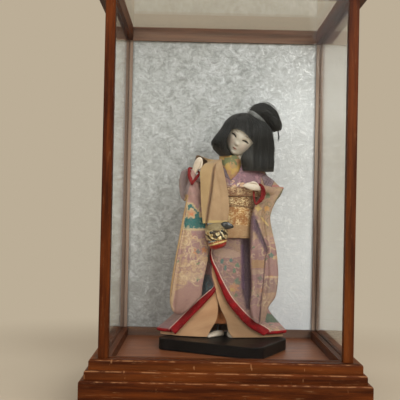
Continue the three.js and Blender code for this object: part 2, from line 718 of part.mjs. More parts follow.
// Bun: stations along its curl; ribbon: a band round the bun's root
const BUN = [
  [35, 6, 306, 9, 9], [42, 6, 315, 11, 11], [46, 7, 321, 14.5, 13], [53, 8, 321, 16.5, 13.5],
  [61, 9, 315, 15, 12], [67, 10, 307, 10.5, 9], [70, 10.5, 301.5, 4.5, 4],
];
const RIBBON_CENTRE = [40.5, 6, 313.5];
const RIBBON_AXIS = [0.63, 0.05, 0.77];
const RIBBON_RADIUS = 14.5;
const RIBBON_THICK = 2.4; // radius of the padded band

function ribbonRing() {
  const axis = point(...RIBBON_AXIS).normalize();
  const side = new THREE.Vector3().crossVectors(axis, point(0, 1, 0)).normalize();
  const up = new THREE.Vector3().crossVectors(axis, side);
  return Array.from({ length: RIBBON_STEPS }, (_, k) => {
    const angle = (2 * Math.PI * k) / RIBBON_STEPS;
    return point(...RIBBON_CENTRE)
      .addScaledVector(side, RIBBON_RADIUS * Math.cos(angle))
      .addScaledVector(up, RIBBON_RADIUS * Math.sin(angle));
  });
}

// Doll: bodice over the core, [z, centre x, centre y, half width, front, back]
const BODICE = [
  [152, 13, 8, 25, 17.5, 17], [175, 14, 8, 25, 18, 17], [200, 14, 8, 27, 18.5, 17],
  [218, 15, 8, 35, 17, 16], [230, 15, 8.5, 41, 15, 15], [240, 14.5, 9, 39.5, 14.6, 14.4],
  [246, 14, 9.5, 33, 14.6, 13.8], [251, 12.5, 10, 25, 14.4, 13.6], [254, 11, 10.2, 20.5, 14, 13.4],
];

function bodiceMass(grow = 0) {
  return ovalLoft(BODICE, BODICE_SIDES, grow);
}

// Inner collar: a sloping band round the neck, [z, centre x, centre y, half width, front, back]
const COLLAR_ROWS = [
  [229, 7, 6, 12, 8.6, 13], [236, 7, 6.2, 14.2, 10.6, 14], [244, 6.8, 7, 15.6, 12.8, 14],
  [251, 6.6, 7.8, 16, 13.6, 14], [258, 6.4, 8.8, 15.4, 12.4, 13], [262.5, 6.6, 9.6, 14.4, 10.8, 12],
];
const COLLAR_CLOTH = 1.8;

function wrapBand(rows, sides, inset, thickness) {
  const face = (offset) => rows.map(([z, cx, cy, width, front, back]) => (
    ovalRing(cx, cy, z, width + offset, front + offset, back + offset, sides)
  ));
  return sheet(face(inset + thickness), face(inset), true);
}

// Obi: wraps of stiff brocade round the waist, and a softer roll above
const OBI_BOTTOM = 148;
const OBI_TOP = 206;
const ROLL_TOP = 220;
const ROLL_PAD = 5;

function bodiceRows(levels) {
  return levels.map((z) => [z, ...atHeight(BODICE, z)]);
}

const obiLevels = BODICE.map(([z]) => z).filter((z) => z > OBI_BOTTOM && z < OBI_TOP);
const OBI_ROWS = bodiceRows([OBI_BOTTOM, ...obiLevels, OBI_TOP]);

function obiMass(grow = 0) {
  return ovalLoft(OBI_ROWS, OBI_SIDES, OBI_CLOTH + SEAT_GAP + grow);
}

// Bow at the back: a drum of brocade, stations across X [x, y, z, half depth, half height]
const BOW_DEPTH = 8; // half
const BOW_HEIGHT = 21; // half
const BOW_HALF_WIDTH = 27;
const BOW_Z = 184;
// Shares of the bow: [along its width, fullness]
const BOW_SHARES = [[-1, 0.8], [-0.85, 1], [-0.2, 0.92], [0.2, 0.92], [0.85, 1], [1, 0.8]];

function bow() {
  const [cx, cy, , , back] = atHeight(BODICE, BOW_Z);
  const y = cy + back + OBI_CLOTH + 2 * SEAT_GAP + BOW_DEPTH;
  return limb(BOW_SHARES.map(([at, full]) => [
    cx + at * BOW_HALF_WIDTH, y, BOW_Z, BOW_DEPTH * full, BOW_HEIGHT * full,
  ]), BOW_SIDES);
}

// Robe skirt: the middle of its cloth, [z, centre x, centre y, half width, front, back]
const ROBE = [
  [151.5, 13, 8, 24, 16.4, 16], [146.5, 13, 8, 24, 16.4, 16], [134, 8.5, 9, 32, 21.5, 22],
  [112, 7, 10, 38.5, 25, 27], [90, 5, 12, 44, 26.5, 31], [70, 3, 14, 51, 28, 34],
  [50, 1, 17, 62, 30, 38], [36, 0, 20, 75, 31, 42], [24.5, -1, 22, 87, 31, 46],
];
const ROBE_FOLDS = 9; // round the back and sides
const ROBE_FOLD_DEPTH = 3.2; // at the hem
// Edges of the front opening, [z, x]: the over panel is the doll's left, the under panel its right
const OVER_EDGE = [
  [151.5, -8], [146.5, -9.5], [134, -18.8], [112, -10.3], [90, 2.4],
  [70, 15], [51.5, 31], [38, 46], [24.5, 53],
];
const UNDER_EDGE = [[112, -11.4], [87, -11.7], [69, -31], [48.6, -50.7], [32, -69], [24.5, -74]];
const EDGE_GAP = 1.1; // between the panels where they meet

function robePoint(z, angle, offset) {
  const [cx, cy, width, front, back] = atHeight(ROBE, z);
  const fall = 1 - (z - ROBE.at(-1)[0]) / (ROBE[0][0] - ROBE.at(-1)[0]);
  const behind = (1 - Math.cos(angle)) / 2;
  const wave = ROBE_FOLD_DEPTH * Math.max(fall, 0) * behind * Math.cos(ROBE_FOLDS * angle) + offset;
  return ovalPoint(cx, cy, z, width + wave, front + wave, back + wave, angle);
}

function edgeAngle(rows, z) {
  const [x] = atHeight(rows, z);
  const [cx, , width] = atHeight(ROBE, z);
  return Math.asin(THREE.MathUtils.clamp((x - cx) / width, -1, 1));
}

function overAngle(z) {
  return edgeAngle(OVER_EDGE, z);
}

// The under panel stops clear of the over panel's padded band.
function underAngle(z) {
  const [, , width] = atHeight(ROBE, z);
  const [band] = atHeight(BAND_WIDTH, z);
  const over = overAngle(z);
  return Math.min(edgeAngle(UNDER_EDGE, z), over - (band + EDGE_GAP) / (width * Math.cos(over)));
}

// Columns of the robe run from the over edge, round the back, to the under edge.
function robeFace(offset) {
  return ROBE.map(([z]) => {
    const start = overAngle(z);
    const span = 2 * Math.PI + underAngle(z) - start;
    return Array.from({ length: ROBE_COLUMNS + 1 }, (_, j) => (
      robePoint(z, start + (span * j) / ROBE_COLUMNS, offset)
    ));
  });
}

function robeMass(grow) {
  const turn = (2 * Math.PI) / ROBE_COLUMNS;
  return loft(ROBE.map(([z]) => (
    Array.from({ length: ROBE_COLUMNS }, (_, j) => robePoint(z, j * turn, grow))
  )));
}

// Hem bands: padded red edging that goes on from the robe's edge, [z, width] down the front
const BAND_WIDTH = [[134, 1.5], [112, 4], [90, 7.5], [70, 10], [50, 10.5], [36, 10.5], [24.5, 10.5]];
const BAND_SHARES = [0, 0.5, 1]; // points across the band
const HEM_BAND = 5.4; // height along the hem
const HEM_BACK_GAP = 1; // degrees, between the two bands at the back

// The band is a sheet between the robe's edge and its own free edge, down the front and along the hem.
function hemBand(edgeOf, direction, top) {
  const hem = ROBE.at(-1)[0];
  const free = hem - SEAT_GAP - HEM_BAND;
  const rowsDown = ROBE.map(([z]) => z).filter((z) => z < top);
  const levels = [top, ...rowsDown];
  const route = levels.map((z) => {
    const [, , width] = atHeight(ROBE, z);
    const [band] = atHeight(BAND_WIDTH, z);
    const angle = edgeOf(z);
    const reach = width * Math.cos(angle);
    return {
      edge: [z, angle - (direction * SEAT_GAP) / reach],
      free: [z, angle - (direction * band) / reach],
    };
  });
  const corner = route.pop();
  const last = Math.PI - deg(HEM_BACK_GAP) * direction;
  const from = corner.edge[1];
  const to = direction > 0 ? last : last - 2 * Math.PI;
  route.push({ edge: [hem - SEAT_GAP, from], free: [free, corner.free[1]] });
  for (let k = 1; k <= HEM_COLUMNS; k += 1) {
    const angle = from + ((to - from) * k) / HEM_COLUMNS;
    route.push({ edge: [hem - SEAT_GAP, angle], free: [free, angle] });
  }
  const face = (offset) => route.map(({ edge, free: out }) => BAND_SHARES.map((share) => {
    const z = edge[0] + (out[0] - edge[0]) * share;
    const angle = edge[1] + (out[1] - edge[1]) * share;
    const level = Math.max(z, hem);
    return robePoint(level, angle, offset).setZ(z);
  }));
  return sheet(face(HEM_PAD / 2), face(-HEM_PAD / 2));
}

// Under-robe: follows the robe inside it, with a slit over the feet, [z, x] of its two edges
const LINING_TOP = 138;
const LINING_CLEARANCE = 1.2; // hem of the under-robe above the plinth
const LINING_HEM = DRAWN_PLINTH + LINING_CLEARANCE;
const LINING_RIGHT_EDGE = [[107, -12.7], [66, -6.4], [40, 2.2], [22, 12], [16, 14]];
const LINING_LEFT_EDGE = [[66, -7.6], [60, -8.2], [42, -11.3], [21.5, -23.2], [16, -25]];

function liningFace(depth) {
  const inner = ROBE.map(([z]) => z).filter((z) => z < LINING_TOP);
  const levels = [LINING_TOP, ...inner, LINING_HEM];
  return levels.map((z) => {
    const [, , width] = atHeight(ROBE, z);
    const start = edgeAngle(LINING_RIGHT_EDGE, z);
    const stop = Math.min(edgeAngle(LINING_LEFT_EDGE, z), start - EDGE_GAP / width);
    const span = 2 * Math.PI + stop - start;
    return Array.from({ length: LINING_COLUMNS + 1 }, (_, j) => (
      robePoint(Math.max(z, ROBE.at(-1)[0]), start + (span * j) / LINING_COLUMNS, -depth).setZ(z)
    ));
  });
}

// Underskirt: a plain tube, [z, centre x, centre y, half width, front, back]
const UNDERSKIRT_ROWS = [
  [34, 0, 19, 31, 19, 21], [90, 5, 12, 29, 16.5, 19.2], [132, 9.5, 9.5, 20, 13.4, 13.4],
];

// Sleeves: hanging bags, [z, left x, right x, middle y, half thickness]
const RIGHT_SLEEVE = [
  [43, -67, -57, -15.5, 2], [45, -70, -54, -15.8, 3], [49, -72.4, -49, -16.2, 4],
  [56, -73.4, -42.5, -16.6, 4.8], [64, -73.6, -37, -17, 5.3], [76, -73, -31.5, -17.4, 5.7],
  [105, -69.5, -26.5, -18.5, 6], [127, -66, -25.5, -17.5, 6], [160, -61, -28, -14, 6.2],
  [190, -57.5, -31, -11, 6.5], [212, -54.5, -33.5, -9, 6.5], [226, -51.5, -36, -9, 5.5],
];
const LEFT_SLEEVE = [
  [31, 50, 63, -14, 2], [38, 43, 68, -14.5, 4], [60, 38, 74, -16.5, 6],
  [95, 37, 82, -16.5, 7], [127, 37, 78, -16.5, 7], [155, 37.5, 72, -15.5, 7],
  [183, 40, 67, -14, 7], [202, 43, 72, -12, 7.5], [214, 50, 76.5, -9, 7], [221, 60, 78, -7, 4.5],
];
const RIGHT_SLEEVE_FOLD = 2.2;
const LEFT_SLEEVE_FOLD = 3.6;
const SLEEVE_FOLDS = 2.5; // waves across the width
const SLEEVE_FULL = 8; // half thickness at which a fold is full
// Upper sleeves from shoulder to elbow
const RIGHT_UPPER_SLEEVE = [
  [-14, 8.5, 231, 9, 11], [-30, 5, 220, 9, 13], [-46, -2, 208, 8, 13], [-53, -5, 202, 5, 9],
];
const LEFT_UPPER_SLEEVE = [
  [46, 8.5, 230, 9, 11], [55, 6, 224, 9, 12], [66, -1, 214, 8, 11], [72, -5, 209, 5, 8],
];

function sleeveBag(rows, fold) {
  return loft(rows.map(([z, left, right, y, thick]) => {
    const [middle, half] = [(left + right) / 2, (right - left) / 2];
    return Array.from({ length: SLEEVE_SIDES }, (_, k) => {
      const angle = (2 * Math.PI * k) / SLEEVE_SIDES;
      const across = Math.sin(angle);
      const wave = fold * (thick / SLEEVE_FULL) * Math.cos(SLEEVE_FOLDS * Math.PI * (across + 1) / 2);
      return point(middle + half * across, y + wave - thick * Math.cos(angle), z);
    });
  }));
}

// Cuffs: red edging of the sleeve mouths, loops of [x, y, z]
const RIGHT_CUFF = [
  [-49.5, -11, 245.5], [-50.2, -13.5, 239], [-49, -16, 232], [-46, -17.5, 225.5], [-43.4, -18, 222.4],
  [-41, -18, 226], [-38.6, -17, 232], [-37.4, -14.5, 238], [-38, -9.5, 241.5], [-43, -7.4, 244.5],
];
const LEFT_CUFF = [
  [45.5, -27, 225], [50.6, -27, 219.5], [52.6, -26, 211], [50, -25.5, 202], [44.6, -24.5, 195.5],
  [40.4, -23, 193.4], [37.6, -20.5, 198], [37, -18.4, 206], [38, -17.4, 214], [41, -18.6, 222.8],
];
const CUFF_PAD = 1.7; // radius

function cuff(loop, grow = 0) {
  const curve = new THREE.CatmullRomCurve3(loop.map((p) => point(...p)), true);
  return loopTube(curve.getPoints(CUFF_STEPS).slice(0, -1), CUFF_PAD + grow, WIRE_SIDES);
}

// Tan cloth held in the raised hand, rows from its back corner over the shoulder and down:
// [left x y z, right x y z]
const SHOULDER_CLOTH = [
  [-43, 2, 247, -18.4, 9.4, 245.4], [-41, -4, 262.8, -16, 8, 256.5], [-25.6, -2, 256.4, -7.4, -3.4, 257.6],
  [-31, -15, 248, -6.4, -8, 252], [-35.6, -21, 239, -4.4, -13.5, 243], [-34.8, -24.5, 224, -1.2, -17.5, 227],
  [-34, -26, 206, 2.4, -20, 208], [-32.8, -27, 190, 3.8, -22, 190], [-30.5, -28.5, 170, 1.6, -26.5, 171.5],
];
const CLOTH_FOLD = 3.4;
const CLOTH_FOLD_AT = 0.36; // share of the width from its left edge
const CLOTH_FOLD_WIDTH = 0.12;
const CLOTH_FOLD_START = 2; // row where the fold begins
const CLOTH_FOLD_ROWS = 2; // rows over which it deepens

// The cloth's middle, moved out along its own normals.
function shoulderClothFace(offset) {
  const middle = SHOULDER_CLOTH.map(([lx, ly, lz, rx, ry, rz], i) => (
    Array.from({ length: CLOTH_COLUMNS + 1 }, (_, j) => {
      const share = j / CLOTH_COLUMNS;
      const off = (share - CLOTH_FOLD_AT) / CLOTH_FOLD_WIDTH;
      const depth = THREE.MathUtils.clamp((i - CLOTH_FOLD_START) / CLOTH_FOLD_ROWS, 0, 1);
      const fold = CLOTH_FOLD * depth * Math.exp(-(off ** 2));
      return point(lx + (rx - lx) * share, ly + (ry - ly) * share + fold, lz + (rz - lz) * share);
    })
  ));
  const lastRow = middle.length - 1;
  return middle.map((row, i) => row.map((p, j) => {
    const across = row[Math.min(j + 1, CLOTH_COLUMNS)].clone().sub(row[Math.max(j - 1, 0)]);
    const down = middle[Math.min(i + 1, lastRow)][j].clone().sub(middle[Math.max(i - 1, 0)][j]);
    return p.clone().addScaledVector(down.cross(across).normalize(), offset);
  }));
}

// Lion-dance mask: rows [z, centre x, centre y, half width, front, back]
const MASK_ROWS = [
  [148, -12.5, -31, 13, 17, 9], [152, -12.5, -31, 14.6, 17.5, 10], [157, -12.5, -31, 15, 14.5, 10.5],
  [163, -12.5, -31, 14.2, 13, 10], [168, -12.5, -30.5, 11.5, 10.5, 8.5], [171.2, -12.5, -30, 7.5, 7, 6],
];
const JAW_ROWS = [
  [138, -13, -31.5, 7.5, 9, 4.5], [141.5, -12.8, -31.5, 11, 13.5, 6.5], [147.7, -12.5, -31, 12.5, 16, 8],
];
const MASK_MIDDLE = [-12.5, -31, 158];
const MASK_LEAN = -10; // degrees, its right side raised
// Raised features, [z, degrees round the mask, radius]; each is also mirrored to the other side
const MASK_BROW = [[162, 52, 0.7], [164.5, 36, 1.5], [163, 18, 1.7], [159.5, 7, 1.1]];
const MASK_CHEEK = [[158, 64, 0.6], [155, 46, 1.3], [152, 30, 1.4], [150.6, 14, 0.8]];
const MASK_EYE = [159, 29];
const EYE_STEPS = [[-1.4, 2.1], [0.6, 2.1], [1.4, 1.2]]; // [outwards, radius]
const MASK_SNOUT = [[160.5, 0, 1.2], [157, 0, 2.4], [153.5, 0, 3], [151.4, 0, 1.8]];
const JAW_LIP = [-90, -60, -30, 0, 30, 60, 90]; // degrees
const JAW_LIP_Z = 144.4;
const JAW_LIP_RADIUS = 1.1;

function onOval(rows, z, degrees, out = 0) {
  const [cx, cy, width, front, back] = atHeight(rows, z);
  return ovalPoint(cx, cy, z, width + out, front + out, back + out, deg(degrees));
}

function leanMask(geometry) {
  const [x, y, z] = MASK_MIDDLE;
  return geometry.translate(-x, -y, -z).rotateY(deg(MASK_LEAN)).translate(x, y, z);
}

function maskFeature(rows, sign = 1, upright = null) {
  const stations = rows.map(([z, degrees, radius]) => (
    [...onOval(MASK_ROWS, z, sign * degrees).toArray(), radius, radius]
  ));
  return limb(stations, FEATURE_SIDES, 0, upright);
}

function maskEye(sign) {
  const [z, degrees] = MASK_EYE;
  return limb(EYE_STEPS.map(([out, radius]) => (
    [...onOval(MASK_ROWS, z, sign * degrees, out).toArray(), radius, radius]
  )), FEATURE_SIDES);
}

function lionMask() {
  const pairs = [1, -1].flatMap((sign) => (
    [maskFeature(MASK_BROW, sign), maskFeature(MASK_CHEEK, sign), maskEye(sign)]
  ));
  const snout = maskFeature(MASK_SNOUT, 1, point(0, -1, 0));
  return leanMask(join(ovalLoft(MASK_ROWS, MASK_SIDES), ...pairs, snout));
}

function lionJaw() {
  const lip = limb(JAW_LIP.map((degrees) => (
    [...onOval(JAW_ROWS, JAW_LIP_Z, degrees).toArray(), JAW_LIP_RADIUS, JAW_LIP_RADIUS]
  )), FEATURE_SIDES);
  return leanMask(join(ovalLoft(JAW_ROWS, MASK_SIDES), lip));
}

// Ears: flat ovals, stations along their length
const RIGHT_EAR = [
  [-22, -26, 164, 1.4, 2.2], [-23.2, -23, 165, 1.6, 3.8], [-24, -19.5, 165.6, 1.6, 3.6],
  [-24.4, -16.6, 166, 1, 1.8],
];
const LEFT_EAR = [
  [-2, -36.5, 166, 1.6, 3], [2, -37, 166, 2, 5.2], [7.5, -37, 165.4, 2, 5], [11.5, -36.6, 164.8, 1.2, 2.6],
];

// Doll: the pieces, each cut clear of the ones it goes over

const plinthOutline = new THREE.Shape();
const [plinthX, plinthY] = [PLINTH_WIDTH / 2 - PLINTH_BEVEL, PLINTH_DEPTH / 2 - PLINTH_BEVEL];
const plinthRound = PLINTH_CORNER - PLINTH_BEVEL;
plinthOutline.absarc(plinthX - plinthRound, plinthY - plinthRound, plinthRound, 0, Math.PI / 2);
plinthOutline.absarc(plinthRound - plinthX, plinthY - plinthRound, plinthRound, Math.PI / 2, Math.PI);
plinthOutline.absarc(plinthRound - plinthX, plinthRound - plinthY, plinthRound, Math.PI, 1.5 * Math.PI);
plinthOutline.absarc(plinthX - plinthRound, plinthRound - plinthY, plinthRound, 1.5 * Math.PI, 2 * Math.PI);
const plinthBlock = new THREE.ExtrudeGeometry(plinthOutline, {
  depth: PLINTH_HEIGHT - 2 * PLINTH_BEVEL,
  bevelThickness: PLINTH_BEVEL,
  bevelSize: PLINTH_BEVEL,
  bevelSegments: PLINTH_BEVEL_STEPS,
  curveSegments: PLINTH_CORNER_STEPS,
}).translate(0, 0, PLINTH_BEVEL).rotateZ(deg(PLINTH_TURN));
const legsClear = [RIGHT_LEG, LEFT_LEG].map((leg) => legWire(leg, SEAT_GAP));
const legHoles = legsClear.map((hole) => hole.clone().translate(0, 0, figureLift));
addMesh(doll, 'plinth', cut(plinthBlock, ...legHoles), LACQUER);

addMesh(figure, 'foot_right', foot(RIGHT_LEG, RIGHT_SPLAY), POWDER_WHITE);
addMesh(figure, 'foot_left', foot(LEFT_LEG, -LEFT_SPLAY), POWDER_WHITE);
addMesh(figure, 'leg_wire_right', legWire(RIGHT_LEG), WIRE);
addMesh(figure, 'leg_wire_left', legWire(LEFT_LEG), WIRE);
addMesh(figure, 'arm_wire_right', armWire(RIGHT_ARM), WIRE);
addMesh(figure, 'arm_wire_left', armWire(LEFT_ARM), WIRE);
addMesh(figure, 'hand_right', hand(RIGHT_HAND, RIGHT_ARM), POWDER_WHITE);
addMesh(figure, 'hand_left', hand(LEFT_HAND, LEFT_ARM), POWDER_WHITE);

const armsClear = [RIGHT_ARM, LEFT_ARM].map((arm) => armWire(arm, SEAT_GAP));
const coreClear = ovalLoft(CORE, BODICE_SIDES, SEAT_GAP);
const headClear = head(SEAT_GAP);
const collarClear = ovalLoft(COLLAR_ROWS, COLLAR_SIDES, COLLAR_CLOTH + SEAT_GAP);
const clothHalf = TAN_CLOTH / 2;
const clothClear = sheet(
  shoulderClothFace(clothHalf + SEAT_GAP), shoulderClothFace(-clothHalf - SEAT_GAP),
);

const neckClear = limb(NECK, LIMB_SIDES, SEAT_GAP);
addMesh(figure, 'body_core', cut(
  ovalLoft(CORE, BODICE_SIDES), ...legsClear, ...armsClear, neckClear,
), STUFFING);
addMesh(figure, 'head', head(), POWDER_WHITE);
addMesh(figure, 'inner_collar', cut(
  wrapBand(COLLAR_ROWS, COLLAR_SIDES, 0, COLLAR_CLOTH), headClear, coreClear,
), COLLAR);
addMesh(figure, 'bodice', cut(bodiceMass(), coreClear, headClear, collarClear, ...armsClear), BROCADE);

const bodiceClear = bodiceMass(SEAT_GAP);
addMesh(figure, 'hair', cut(
  hairMass(), headClear, bodiceClear, collarClear,
  windowCut(FACE_WINDOW, FACE_WINDOW_BACK), windowCut(THROAT_WINDOW, THROAT_WINDOW_BACK),
), HAIR);
const ribbon = ribbonRing();
const ribbonClear = loopTube(ribbon, RIBBON_THICK + SEAT_GAP, WIRE_SIDES);
const hairClear = hairMass(SEAT_GAP);
addMesh(figure, 'bun_ribbon', cut(loopTube(ribbon, RIBBON_THICK, WIRE_SIDES), hairClear), RIBBON);
addMesh(figure, 'hair_bun', cut(limb(BUN, BUN_SIDES), hairClear, ribbonClear), HAIR);

addMesh(figure, 'obi', wrapBand(OBI_ROWS, OBI_SIDES, SEAT_GAP, OBI_CLOTH), GOLD_BROCADE);
const rollMiddle = (OBI_TOP + SEAT_GAP + ROLL_TOP) / 2;
const rollRows = bodiceRows([OBI_TOP + SEAT_GAP, rollMiddle, ROLL_TOP]);
const rollOuter = [ROLL_PAD / 2, ROLL_PAD, ROLL_PAD / 2];
addMesh(figure, 'obi_roll', sheet(
  rollRows.map(([z, cx, cy, width, front, back], i) => (
    ovalRing(cx, cy, z, width + rollOuter[i], front + rollOuter[i], back + rollOuter[i], OBI_SIDES)
  )),
  rollRows.map(([z, cx, cy, width, front, back]) => (
    ovalRing(cx, cy, z, width + SEAT_GAP, front + SEAT_GAP, back + SEAT_GAP, OBI_SIDES)
  )),
  true,
), GOLD_BROCADE);
addMesh(figure, 'obi_bow', bow(), GOLD_BROCADE);

addMesh(figure, 'robe_skirt', sheet(robeFace(ROBE_CLOTH / 2), robeFace(-ROBE_CLOTH / 2)), BROCADE);
addMesh(figure, 'hem_band_left', hemBand(overAngle, 1, BAND_WIDTH[0][0]), RED_SILK);
addMesh(figure, 'hem_band_right', hemBand(underAngle, -1, UNDER_EDGE[1][0]), RED_SILK);
addMesh(figure, 'under_robe', sheet(liningFace(LINING_INSET), liningFace(LINING_INSET + LINING_CLOTH)), TAN);
addMesh(figure, 'underskirt', wrapBand(UNDERSKIRT_ROWS, OBI_SIDES, 0, LINING_CLOTH), UNDERSKIRT);

const robeClear = robeMass(HEM_PAD / 2 + SEAT_GAP);
const obiClear = obiMass(SEAT_GAP);
const rollClear = ovalLoft(rollRows, OBI_SIDES, ROLL_PAD + SEAT_GAP);
const trunkClear = [bodiceClear, robeClear, obiClear, rollClear];
const rightHandClear = hand(RIGHT_HAND, RIGHT_ARM, SEAT_GAP);
const leftHandClear = hand(LEFT_HAND, LEFT_ARM, SEAT_GAP);
const rightCuffClear = cuff(RIGHT_CUFF, SEAT_GAP);
const leftCuffClear = cuff(LEFT_CUFF, SEAT_GAP);
addMesh(figure, 'sleeve_right', cut(
  join(sleeveBag(RIGHT_SLEEVE, RIGHT_SLEEVE_FOLD), limb(RIGHT_UPPER_SLEEVE, UPPER_SLEEVE_SIDES)),
  ...trunkClear, clothClear, armsClear[0], rightCuffClear, rightHandClear,
), BROCADE);
addMesh(figure, 'sleeve_left', cut(
  join(sleeveBag(LEFT_SLEEVE, LEFT_SLEEVE_FOLD), limb(LEFT_UPPER_SLEEVE, UPPER_SLEEVE_SIDES)),
  ...trunkClear, hairClear, armsClear[1], leftCuffClear, leftHandClear,
), BROCADE);
addMesh(figure, 'cuff_right', cut(cuff(RIGHT_CUFF), rightHandClear), RED_SILK);
addMesh(figure, 'cuff_left', cut(cuff(LEFT_CUFF), leftHandClear), RED_SILK);

const maskClear = leanMask(ovalLoft(MASK_ROWS, MASK_SIDES, SEAT_GAP));
addMesh(figure, 'shoulder_cloth', cut(
  sheet(shoulderClothFace(clothHalf), shoulderClothFace(-clothHalf)),
  bodiceClear, rightHandClear, rightCuffClear, maskClear,
), TAN);
addMesh(figure, 'lion_mask', lionMask(), MASK_GOLD);
addMesh(figure, 'lion_jaw', lionJaw(), MASK_RED);
addMesh(figure, 'lion_ear_right', cut(limb(RIGHT_EAR, EAR_SIDES), maskClear), MASK_BLACK);
addMesh(figure, 'lion_ear_left', cut(limb(LEFT_EAR, EAR_SIDES), maskClear), MASK_BLACK);

export default showcase;
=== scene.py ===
import math
import random
import bpy
import numpy
from mathutils import Matrix, Vector


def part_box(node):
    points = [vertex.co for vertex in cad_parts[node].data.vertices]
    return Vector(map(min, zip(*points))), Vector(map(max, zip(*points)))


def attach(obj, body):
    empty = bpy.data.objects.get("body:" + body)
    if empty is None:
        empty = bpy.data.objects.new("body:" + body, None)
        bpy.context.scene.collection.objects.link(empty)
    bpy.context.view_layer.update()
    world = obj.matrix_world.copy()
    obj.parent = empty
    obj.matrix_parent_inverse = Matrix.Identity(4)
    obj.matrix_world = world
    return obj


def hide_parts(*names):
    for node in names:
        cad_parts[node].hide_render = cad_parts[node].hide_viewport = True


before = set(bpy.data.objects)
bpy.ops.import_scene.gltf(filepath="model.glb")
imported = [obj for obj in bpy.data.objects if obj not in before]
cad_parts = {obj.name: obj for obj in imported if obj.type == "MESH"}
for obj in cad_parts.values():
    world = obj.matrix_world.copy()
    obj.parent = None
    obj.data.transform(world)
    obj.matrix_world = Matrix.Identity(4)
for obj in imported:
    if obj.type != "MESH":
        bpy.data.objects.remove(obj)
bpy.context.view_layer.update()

scene = bpy.context.scene
scene.view_settings.view_transform = "Standard"

# Camera: level with the upper half of the case, a little left of its middle and about a metre in front.
# Its place, turn and lens were worked out from the edges of the case, taken as 300 mm wide over the posts.
EYE = Vector((-0.0383, -1.0479, 0.2411))
LENS = 70.2
PITCH, YAW, ROLL = 0.0164, 0.0047, 0.0208

ahead = Vector((math.sin(YAW) * math.cos(PITCH), math.cos(YAW) * math.cos(PITCH), math.sin(PITCH)))
side = Vector((math.cos(YAW), -math.sin(YAW), 0))
above = side.cross(ahead)
rolled_side = side * math.cos(ROLL) + above * math.sin(ROLL)
rolled_above = above * math.cos(ROLL) - side * math.sin(ROLL)
bpy.ops.object.select_all(action="DESELECT")
bpy.ops.object.camera_add(location=EYE)
camera = bpy.context.object
camera.data.lens = LENS
camera.data.sensor_width = 36
turn = Matrix((rolled_side, rolled_above, -ahead)).transposed()
camera.rotation_euler = turn.to_euler()
scene.camera = camera

# Floor and light: a plain pale table top under the case, a large soft window light from the right,
# a weak one from the left, and pale surroundings that glass and silver paper also show.
FLOOR_RADIUS = 6.0
FADE = (0.42, 0.8)
SURROUNDINGS = (188, 174, 151)


def dye(red, green, blue):
    """A colour as it is seen on a screen, 0 to 255, turned into the light it stands for."""
    parts = []
    for value in (red, green, blue):
        share = value / 255
        parts.append(share / 12.92 if share <= 0.04045 else ((share + 0.055) / 1.055) ** 2.4)
    return (*parts, 1.0)


class Socket:
    """One output in a finish's node tree. Arithmetic on it adds Math nodes."""

    def __init__(self, tree, out=None):
        self.tree = tree
        self.out = out

    def node(self, kind, settings=None, links=None, out=0):
        """Any node, by its type, its settings and the values or links of its sockets."""
        made = self.tree.nodes.new("ShaderNode" + kind)
        for name, value in (settings or {}).items():
            setattr(made, name, value)
        for name, value in (links or {}).items():
            if isinstance(value, Socket):
                self.tree.links.new(value.out, made.inputs[name])
            else:
                made.inputs[name].default_value = value
        return Socket(self.tree, made.outputs[out] if made.outputs else None)

    def vector(self, operation, *others, out=0):
        """Vector Math on this and others."""
        return self.node("VectorMath", {"operation": operation}, dict(enumerate((self, *others))), out)

    def maths(self, operation, *terms):
        return self.node("Math", {"operation": operation}, dict(enumerate(terms)))

    def __add__(self, other):
        return self.maths("ADD", self, other)

    def __radd__(self, other):
        return self.maths("ADD", other, self)

    def __sub__(self, other):
        return self.maths("SUBTRACT", self, other)

    def __rsub__(self, other):
        return self.maths("SUBTRACT", other, self)

    def __mul__(self, other):
        return self.maths("MULTIPLY", self, other)

    def __rmul__(self, other):
        return self.maths("MULTIPLY", other, self)

    def __truediv__(self, other):
        return self.maths("DIVIDE", self, other)

    def __pow__(self, other):
        return self.maths("POWER", self, other)

    def __abs__(self):
        return self.maths("ABSOLUTE", self)

    def highest(self, other):
        return self.maths("MAXIMUM", self, other)

    def rise(self, low, high):
        """0 below low, 1 above high, and a smooth slope between them."""
        values = {"Value": self, "From Min": low, "From Max": high}
        return self.node("MapRange", {"interpolation_type": "SMOOTHSTEP"}, values)

    def blend(self, first, second):
        """The first colour where this is 0 and the second where it is 1."""
        return self.node("Mix", {"data_type": "RGBA"}, {0: self, 6: first, 7: second}, out=2)


def new_finish(name, uv_map=None):
    """An empty material and the place on its piece: in the case's frame, or on the piece's own UV map."""
    made = bpy.data.materials.new(name)
    made.use_nodes = True
    made.node_tree.nodes.clear()
    start = Socket(made.node_tree)
    if uv_map:
        return made, start.node("UVMap", {"uv_map": uv_map})
    return made, start.node("TexCoord", out="Object")


def ray(start, kind):
    """1 for one kind of ray of light and 0 for the others."""
    return start.node("LightPath", out=f"Is {kind} Ray")


bpy.ops.mesh.primitive_circle_add(vertices=96, radius=FLOOR_RADIUS, fill_type="NGON")
floor = bpy.context.object
floor.name = "table_top"
table_paint, place = new_finish("table_paint")
cloudy = place.node("TexNoise", links={"Vector": place, "Scale": 2.0})
table_colour = cloudy.rise(0.3, 0.7).blend(dye(182, 167, 144), dye(190, 176, 153))
table_shader = place.node("BsdfPrincipled", links={"Base Color": table_colour, "Roughness": 0.7})
far_off = place.node("Emission", links={"Color": dye(*SURROUNDINGS), "Strength": 1.0})
looked_at = ray(place, "Camera").highest(ray(place, "Glossy"))
faded = place.vector("LENGTH", out="Value").rise(*FADE) * looked_at
table_shader = place.node("MixShader", links={0: faded, 1: table_shader, 2: far_off})
place.node("OutputMaterial", links={"Surface": table_shader})
floor.data.materials.append(table_paint)

